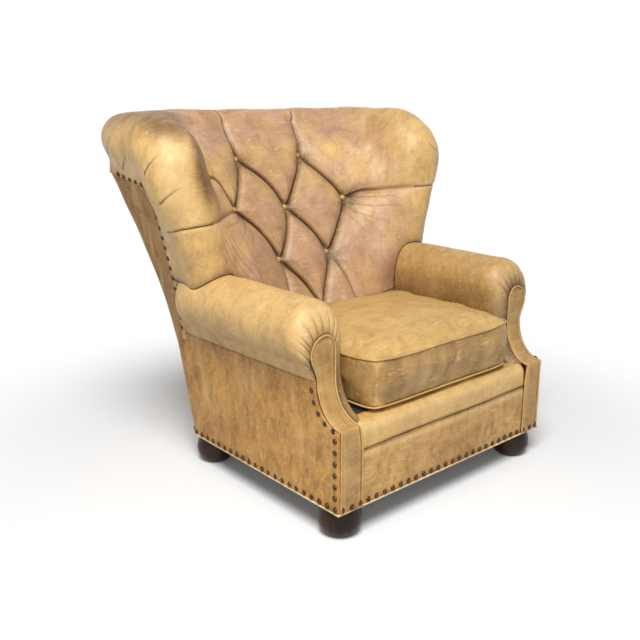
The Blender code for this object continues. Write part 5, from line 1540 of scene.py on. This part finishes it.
def grain_material(name, light, dark, scale, roughness, coat=0.0):
    """Wood with long grain."""
    material, tree, shader = new_material(name)
    vector = object_vector(tree)
    rings = noise(tree, stretch(tree, vector, scale), 1.0, 5.0, 0.65, 1.4)
    pores = noise(tree, stretch(tree, vector, tuple(6 * value for value in scale)), 1.0, 3.0, 0.6)
    put(tree, shader.inputs["Base Color"], mixed(tree, remap(tree, rings, 0.35, 0.68), light, dark))
    put(tree, shader.inputs["Roughness"], remap(tree, pores, 0.3, 0.7, roughness - 0.06, roughness + 0.10))
    shader.inputs["Specular IOR Level"].default_value = 0.22
    shader.inputs["Coat Weight"].default_value = coat
    shader.inputs["Coat Roughness"].default_value = 0.18
    bumped(tree, shader, pores, 0.0005, 0.25)
    return material


def weave_material(name, light, dark, threads, roughness):
    """Plain woven cloth or webbing, from two crossed sets of threads."""
    material, tree, shader = new_material(name)
    vector = object_vector(tree)
    sets = []
    for axis in ("X", "Z"):
        wave = add_node(tree, "ShaderNodeTexWave", bands_direction=axis)
        put(tree, wave.inputs["Vector"], vector)
        wave.inputs["Scale"].default_value = threads
        wave.inputs["Distortion"].default_value = 0.6
        sets.append(wave.outputs["Fac"])
    weave = sums(tree, "MAXIMUM", *sets)
    put(tree, shader.inputs["Base Color"], mixed(tree, weave, dark, light))
    put(tree, shader.inputs["Roughness"], remap(tree, noise(tree, vector, 90.0), 0.3, 0.7, roughness, 0.98))
    bumped(tree, shader, weave, 0.0004)
    return material


def metal_material(name, light, dark, metallic, rough):
    """Metal with tarnish in soft patches."""
    material, tree, shader = new_material(name)
    vector = object_vector(tree)
    tarnish = noise(tree, vector, 240.0, 4.0, 0.6)
    put(tree, shader.inputs["Base Color"], mixed(tree, remap(tree, tarnish, 0.35, 0.65), light, dark))
    put(tree, shader.inputs["Roughness"], remap(tree, tarnish, 0.3, 0.7, rough - 0.08, rough + 0.14))
    shader.inputs["Metallic"].default_value = metallic
    return material


def floor_material(look):
    """A pale floor that keeps the shadow near the chair and fades to plain white further off."""
    material, tree, shader = new_material("pale_floor")
    shader.inputs["Base Color"].default_value = (*look.floor, 1.0)
    shader.inputs["Roughness"].default_value = 0.9
    shader.inputs["Specular IOR Level"].default_value = 0.0
    glow = add_node(tree, "ShaderNodeEmission")
    away = add_node(tree, "ShaderNodeVectorMath", operation="LENGTH")
    put(tree, away.inputs[0], object_vector(tree))
    fade = remap(tree, away.outputs["Value"], *FLOOR_FADE)
    join = add_node(tree, "ShaderNodeMixShader")
    put(tree, join.inputs[0], times(tree, seen_ray(tree), fade))
    put(tree, join.inputs[1], shader.outputs["BSDF"])
    put(tree, join.inputs[2], glow.outputs["Emission"])
    put(tree, tree.nodes["Material Output"].inputs["Surface"], join.outputs["Shader"])
    return material


def area_light(name, place, size, power):
    lamp = bpy.data.lights.new(name, "AREA")
    lamp.shape = "DISK"
    lamp.size = size
    lamp.energy = power
    light = bpy.data.objects.new(name, lamp)
    bpy.context.scene.collection.objects.link(light)
    light.location = place
    light.rotation_euler = (Vector(LIGHT_TARGET) - Vector(place)).to_track_quat("-Z", "Y").to_euler()


def room_light(strength):
    """Even light all round, with a white background where it is seen."""
    world = bpy.data.worlds.new("room")
    bpy.context.scene.world = world
    world.use_nodes = True
    tree = world.node_tree
    background = tree.nodes["Background"]
    background.inputs["Color"].default_value = (1.0, 1.0, 1.0, 1.0)
    put(tree, background.inputs["Strength"], remap(tree, seen_ray(tree), 0.0, 1.0, strength, 1.0))


def hide(name):
    return bpy.data.materials[name]


# Operators

class ARMCHAIR_OT_finishes(bpy.types.Operator):
    """Mix the finishes and give the hidden frame's nodes theirs"""
    bl_idname = "armchair.finishes"
    bl_label = "Finishes and Frame"

    def execute(self, context):
        look = context.scene.armchair_hide
        hide_mottle_group()
        for name, (base, worn, *amounts) in HIDES.items():
            hide_material(name, look, getattr(look, base), getattr(look, worn), *amounts)
        finishes = {
            "frame_wood": grain_material("frame_beech", (0.58, 0.42, 0.26), (0.42, 0.28, 0.15),
                                         (9.0, 9.0, 60.0), 0.55),
            "foot_wood": grain_material("espresso_wood", (0.034, 0.013, 0.007), (0.010, 0.005, 0.003),
                                        (14.0, 14.0, 5.0), 0.36, 0.06),
            "steel": metal_material("spring_steel", (0.52, 0.52, 0.53), (0.36, 0.36, 0.37), 1.0, 0.34),
            "dust_cloth": weave_material("dust_cloth", (0.035, 0.032, 0.030), (0.015, 0.014, 0.013),
                                         300.0, 0.85),
            "webbing": weave_material("jute_webbing", (0.52, 0.41, 0.25), (0.30, 0.22, 0.12), 180.0, 0.80),
        }
        metal_material("antique_nail", (0.14, 0.075, 0.038), (0.030, 0.016, 0.010), 0.85, 0.34)
        slots = {part["node"]: part["material_slot"] for part in frame["record"]["subparts"]}
        for node, thing in frame["nodes"].items():
            if slots[node] in finishes:
                thing.data.materials.clear()
                thing.data.materials.append(finishes[slots[node]])
        return {"FINISHED"}


class ARMCHAIR_OT_tufted_back(bpy.types.Operator):
    """Lay the tufted back and its rolled wings and crest as one cover"""
    bl_idname = "armchair.tufted_back"
    bl_label = "Tufted Back"

    def execute(self, context):
        points, marks = tuft_cover(context.scene.armchair_tuft)
        piece = lay_grid("tufted_back", points, marks)
        across, depth, height = places_of(piece).T
        across, depth = numpy.abs(across), depth - FRONT_Y
        in_roll = numpy.hypot(across - ARM_ROLL_X, height - ARM_ROLL_Z) < ARM_ROLL_RADIUS - COVER_TUCK
        in_wall = (across > SEAT_HALF + COVER_TUCK) & (height < ARM_ROLL_Z)
        delete_points(piece, (in_roll | in_wall) & (depth < ARM_BACK - COVER_TUCK))
        thicken(piece, TUFT_COVER)
        dress(piece, hide("hide_roll"), stands_for=["inside_back"])
        return {"FINISHED"}


class ARMCHAIR_OT_buttons(bpy.types.Operator):
    """Shape one covered button and set a copy in each tuft"""
    bl_idname = "armchair.buttons"
    bl_label = "Covered Buttons"

    def execute(self, context):
        tuft = context.scene.armchair_tuft
        model = sphere_model("button_model", 24, 14, tuft.button_radius)
        for corner in model.data.vertices:
            corner.co.z *= BUTTON_TOP if corner.co.z > 0.0 else BUTTON_UNDER
        deep = tuft.pleat_depth + tuft.button_depth
        for index, spot in enumerate(TUFT_BUTTONS):
            step = 0.2
            up = tuft_place(spot[0], spot[1] + step) - tuft_place(spot[0], spot[1] - step)
            across = tuft_place(spot[0] + step, spot[1]) - tuft_place(spot[0] - step, spot[1])
            out = across.cross(up).normalized()
            seat = tuft_place(*spot) + Vector((0.0, deep, 0.0)) + out * BUTTON_OUT
            button = set_copy(model, seated(seat, out))
            button.name = button.data.name = "covered_button_%d" % (index + 1)
            dress(button, hide("hide_button"), stands_for=["tuft_button_%d" % (index + 1)])
        bpy.data.objects.remove(model, do_unlink=True)
        return {"FINISHED"}


class ARMCHAIR_OT_arms(bpy.types.Operator):
    """Lay the arm covers, with gathers round the facings"""
    bl_idname = "armchair.arms"
    bl_label = "Rolled Arms"

    def execute(self, context):
        points, marks = arm_cover()
        for side, sign in SIDES:
            # Painted shade: the right arm is painted darker than the left
            marks_shaded_right = dict(marks, soil_and_shade=numpy.clip(marks["soil_and_shade"] + 0.45 * (sign > 0), 0.0, 1.0))
            piece = lay_grid("rolled_arm_" + side, *mirrored(points, marks_shaded_right, sign))
            thicken(piece, ARM_COVER)
            dress(piece, hide("hide_arm"), stands_for=["arm_pad_" + side])
        return {"FINISHED"}


class ARMCHAIR_OT_facings(bpy.types.Operator):
    """Lay the arm facings and sew a welt round each"""
    bl_idname = "armchair.facings"
    bl_label = "Arm Facings"

    def execute(self, context):
        cover = facing_cover()
        radius = context.scene.armchair_trim.welt_radius
        for side, sign in SIDES:
            piece = lay_grid("arm_front_" + side, *mirrored(*cover, sign))
            thicken(piece, ARM_COVER)
            dress(piece, hide("hide_facing"), stands_for=["arm_facing_" + side])
            line = [(sign * across, depth, height) for across, depth, height in facing_outline()]
            dress(cord_piece("facing_welt_" + side, line, radius), hide("hide_welt"))
        return {"FINISHED"}


class ARMCHAIR_OT_outside(bpy.types.Operator):
    """Lay the outside arm, wing and back covers"""
    bl_idname = "armchair.outside"
    bl_label = "Outside Covers"

    def execute(self, context):
        cover = arm_panel_cover()
        for side, sign in SIDES:
            piece = lay_grid("side_cover_" + side, *mirrored(*cover, sign))
            empty = numpy.empty(len(piece.data.vertices), dtype=numpy.float32)
            piece.data.attributes["empty"].data.foreach_get("value", empty)
            delete_points(piece, empty > 0.5)
            thicken(piece, PANEL_COVER)
            dress(piece, hide("hide_side"), stands_for=["outside_arm_" + side])
        piece = lay_grid("back_cover", *back_panel_cover())
        thicken(piece, PANEL_COVER)
        dress(piece, hide("hide_side"), stands_for=["outside_back"])
        return {"FINISHED"}


class ARMCHAIR_OT_seat_front(bpy.types.Operator):
    """Lay the front border, the rounded lip above it and the base welt"""
    bl_idname = "armchair.seat_front"
    bl_label = "Seat Front"

    def execute(self, context):
        reach = BORDER_REACH - BORDER_GAP
        across = steps((-reach, reach, 100))
        border = lay_grid("front_cover", *border_cover(across))
        thicken(border, BORDER_COVER)
        dress(border, hide("hide_front"), stands_for=["front_border"])
        lip = lay_grid("seat_lip", *lip_cover(across))
        thicken(lip, ARM_COVER)
        dress(lip, hide("hide_arm"), stands_for=["front_lip"])
        radius = context.scene.armchair_trim.welt_radius
        dress(cord_piece("base_welt", base_ring(), radius, closed=True), hide("hide_edge"))
        return {"FINISHED"}


class ARMCHAIR_OT_stitches(bpy.types.Operator):
    """Sew a row of stitches on each side of the seam between border and lip"""
    bl_idname = "armchair.stitches"
    bl_label = "Stitches"

    def execute(self, context):
        trim = context.scene.armchair_trim
        model = sphere_model("stitch_model", 6, 4, trim.stitch_length / 2)
        bpy.ops.object.mode_set(mode="EDIT")
        bpy.ops.mesh.select_all(action="SELECT")
        bpy.ops.transform.resize(value=(1.0, STITCH_FLATNESS, STITCH_FLATNESS))
        bpy.ops.object.mode_set(mode="OBJECT")
        reach = BORDER_REACH - STITCH_END
        count = int(2 * reach / (STITCH_PITCH * trim.stitch_length))
        for row, depth in STITCH_DEPTHS.items():
            height = LIP_SEAM + (STITCH_OFF if row == "lip" else -STITCH_OFF)
            sewn = []
            for across in numpy.linspace(-reach, reach, count):
                sewn.append(set_copy(model, Matrix.Translation((across, depth + FRONT_Y, height))))
            dress(joined("stitches_" + row, sewn), hide("hide_thread"))
        bpy.data.objects.remove(model, do_unlink=True)
        return {"FINISHED"}


class ARMCHAIR_OT_cushion(bpy.types.Operator):
    """Shape the loose seat cushion and sew its two welts"""
    bl_idname = "armchair.cushion"
    bl_label = "Seat Cushion"

    def execute(self, context):
        trim = context.scene.armchair_trim
        bpy.ops.object.select_all(action="DESELECT")
        bpy.ops.mesh.primitive_cube_add(size=2.0)
        piece = name_new("seat_cushion_cover")
        bpy.ops.object.mode_set(mode="EDIT")
        bpy.ops.mesh.select_all(action="SELECT")
        bpy.ops.mesh.subdivide(number_cuts=CUSHION_CUTS)
        bpy.ops.object.mode_set(mode="OBJECT")
        corners = places_of(piece)
        shaped = numpy.array([cushion_point(*corner, trim.cushion_crown) for corner in corners])
        piece.data.vertices.foreach_set("co", (shaped + (0.0, FRONT_Y, 0.0)).ravel())
        apply(piece, "REMESH", mode="VOXEL", voxel_size=CUSHION_VOXEL)
        start = places_of(piece) - (0.0, FRONT_Y, 0.0)
        u, v, w = cushion_shares(start, trim.cushion_crown)
        band = smooth((numpy.maximum(abs(u), abs(v)) + BAND_CORNER * (u * v) ** 6 - BAND_START) / BAND_FADE)
        top = (1.0 - band) * smooth(w)
        swell = filled_out(piece, v, w)
        seam = band * numpy.exp(-((1.0 - numpy.abs(w)) / 0.10) ** 2)
        puckers = uneven(start, "pucker") * numpy.clip(abs(w), 0.0, 1.0) ** 2
        fold = (uneven(start, "cushion_band") + puckers) * band * (1.0 - seam)
        fold += uneven(start, "cushion_top") * top - CUSHION_SEAM_DRAW * seam
        out = numpy.stack([u * band, v * band, top], axis=1)
        out /= numpy.maximum(numpy.linalg.norm(out, axis=1, keepdims=True), 1e-6)
        placed = start + swell + out * fold[:, None]
        piece.data.vertices.foreach_set("co", (placed + (0.0, FRONT_Y, 0.0)).ravel())
        drag = numpy.clip(ripple(start * (1.0, 1.0, 0.25), 0.05, 45), 0.0, 1.0)
        rub_and_highlight = 0.35 * band * (1.0 - seam) * drag
        write_marks(piece.data, {"crease": 0.5 * seam, "rub_and_highlight": rub_and_highlight, "bloom": band, "soil_and_shade": 0.60 * band})
        dress(piece, hide("hide_cushion"), "cushion", stands_for=["seat_cushion"])
        sewn = band * (numpy.abs(w) > 0.7) > 0.5
        for end, level in (("bottom", -1.0), ("top", 1.0)):
            ring = numpy.array(cushion_ring(level, PIPING_OFFSET, trim.cushion_crown))
            nearest = [((start[sewn] - place) ** 2).sum(axis=1).argmin() for place in ring]
            moved = swell[sewn][nearest]
            for _ in range(6):
                moved = (numpy.roll(moved, 1, axis=0) + moved + numpy.roll(moved, -1, axis=0)) / 3
            line = [tuple(place) for place in ring + moved]
            welt = cord_piece("cushion_piping_" + end, line, trim.welt_radius, closed=True)
            dress(welt, hide("hide_welt"), "cushion", stands_for=["cushion_welt_" + end])
        return {"FINISHED"}


class ARMCHAIR_OT_nails(bpy.types.Operator):
    """Drive rows of domed nails along the base, the arm fronts and the rolled rim"""
    bl_idname = "armchair.nails"
    bl_label = "Nail Heads"

    def execute(self, context):
        trim = context.scene.armchair_trim
        model = sphere_model("nail_model", 10, 6, trim.nail_radius)
        for corner in model.data.vertices:
            corner.co.z *= trim.nail_dome / trim.nail_radius if corner.co.z > 0.0 else NAIL_UNDER
        for name, seats in nail_rows(trim.nail_spacing).items():
            row = [set_copy(model, seated(*seat)) for seat in seats]
            dress(joined(name, row), bpy.data.materials["antique_nail"])
        bpy.data.objects.remove(model, do_unlink=True)
        return {"FINISHED"}


class ARMCHAIR_OT_feet(bpy.types.Operator):
    """Turn one bun foot and set a copy on each foot node"""
    bl_idname = "armchair.feet"
    bl_label = "Bun Feet"

    def execute(self, context):
        model = sphere_model("foot_model", 56, 40, 1.0)
        for corner in model.data.vertices:
            swing = math.asin(max(-1.0, min(1.0, corner.co.z)))
            around = Vector((corner.co.x, corner.co.y))
            around = around.normalized() if around.length > 1e-6 else Vector((0.0, 0.0))
            radius, height = foot_profile(swing / math.pi + 0.5)
            corner.co = (around.x * radius, around.y * radius, height)
        for end in ("front", "back"):
            for side, _ in SIDES:
                node = "bun_foot_%s_%s" % (end, side)
                low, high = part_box(node)
                middle = ((low[0] + high[0]) / 2, (low[1] + high[1]) / 2, 0.0)
                foot = set_copy(model, Matrix.Translation(middle))
                foot.name = foot.data.name = "turned_foot_%s_%s" % (end, side)
                dress(foot, bpy.data.materials["espresso_wood"], stands_for=[node])
        bpy.data.objects.remove(model, do_unlink=True)
        return {"FINISHED"}


class ARMCHAIR_OT_stage(bpy.types.Operator):
    """Set the floor, the lights and the camera"""
    bl_idname = "armchair.stage"
    bl_label = "Stage"

    def execute(self, context):
        look = context.scene.armchair_stage
        bpy.ops.object.select_all(action="DESELECT")
        bpy.ops.mesh.primitive_plane_add(size=FLOOR_SIZE)
        floor = name_new("floor")
        floor.data.materials.append(floor_material(look))
        area_light("key", KEY_PLACE, KEY_SIZE, look.key)
        area_light("fill", FILL_PLACE, FILL_SIZE, look.fill)
        room_light(look.world)
        lens = bpy.data.cameras.new("camera")
        lens.lens = CAMERA_LENS
        camera = bpy.data.objects.new("camera", lens)
        context.scene.collection.objects.link(camera)
        camera.location = (CAMERA_PLACE[0], CAMERA_PLACE[1] + FRONT_Y, CAMERA_PLACE[2])
        camera.rotation_euler = (math.pi / 2 - CAMERA_DIP, 0.0, -CAMERA_TURN)
        context.scene.camera = camera
        context.scene.view_settings.view_transform = "Standard"
        return {"FINISHED"}


class ARMCHAIR_PT_panel(bpy.types.Panel):
    """Sizes, colours and steps of the armchair"""
    bl_label = "Rolled Wing Armchair"
    bl_idname = "ARMCHAIR_PT_panel"
    bl_space_type = "VIEW_3D"
    bl_region_type = "UI"
    bl_category = "Armchair"

    def draw(self, context):
        for group, names in SCENE_GROUPS.items():
            box = self.layout.box()
            for label in names.__annotations__:
                box.prop(getattr(context.scene, group), label)
        for operator in OPERATORS:
            self.layout.operator(operator.bl_idname)


SCENE_GROUPS = {"armchair_hide": HideLook, "armchair_tuft": TuftShape, "armchair_trim": TrimSizes,
                "armchair_stage": StageLook}
OPERATORS = (ARMCHAIR_OT_finishes, ARMCHAIR_OT_tufted_back, ARMCHAIR_OT_buttons, ARMCHAIR_OT_arms,
             ARMCHAIR_OT_facings, ARMCHAIR_OT_outside, ARMCHAIR_OT_seat_front, ARMCHAIR_OT_stitches,
             ARMCHAIR_OT_cushion, ARMCHAIR_OT_nails, ARMCHAIR_OT_feet, ARMCHAIR_OT_stage)


def register():
    for group, names in SCENE_GROUPS.items():
        bpy.utils.register_class(names)
        setattr(bpy.types.Scene, group, PointerProperty(type=names))
    for item in (*OPERATORS, ARMCHAIR_PT_panel):
        bpy.utils.register_class(item)


def unregister():
    for item in reversed((*OPERATORS, ARMCHAIR_PT_panel)):
        bpy.utils.unregister_class(item)
    for group, names in reversed(SCENE_GROUPS.items()):
        delattr(bpy.types.Scene, group)
        bpy.utils.unregister_class(names)


def main():
    register()
    bpy.ops.armchair.finishes()
    bpy.ops.armchair.tufted_back()
    bpy.ops.armchair.buttons()
    bpy.ops.armchair.arms()
    bpy.ops.armchair.facings()
    bpy.ops.armchair.outside()
    bpy.ops.armchair.seat_front()
    bpy.ops.armchair.stitches()
    bpy.ops.armchair.cushion()
    bpy.ops.armchair.nails()
    bpy.ops.armchair.feet()
    bpy.ops.armchair.stage()


if __name__ == "__main__":
    main()
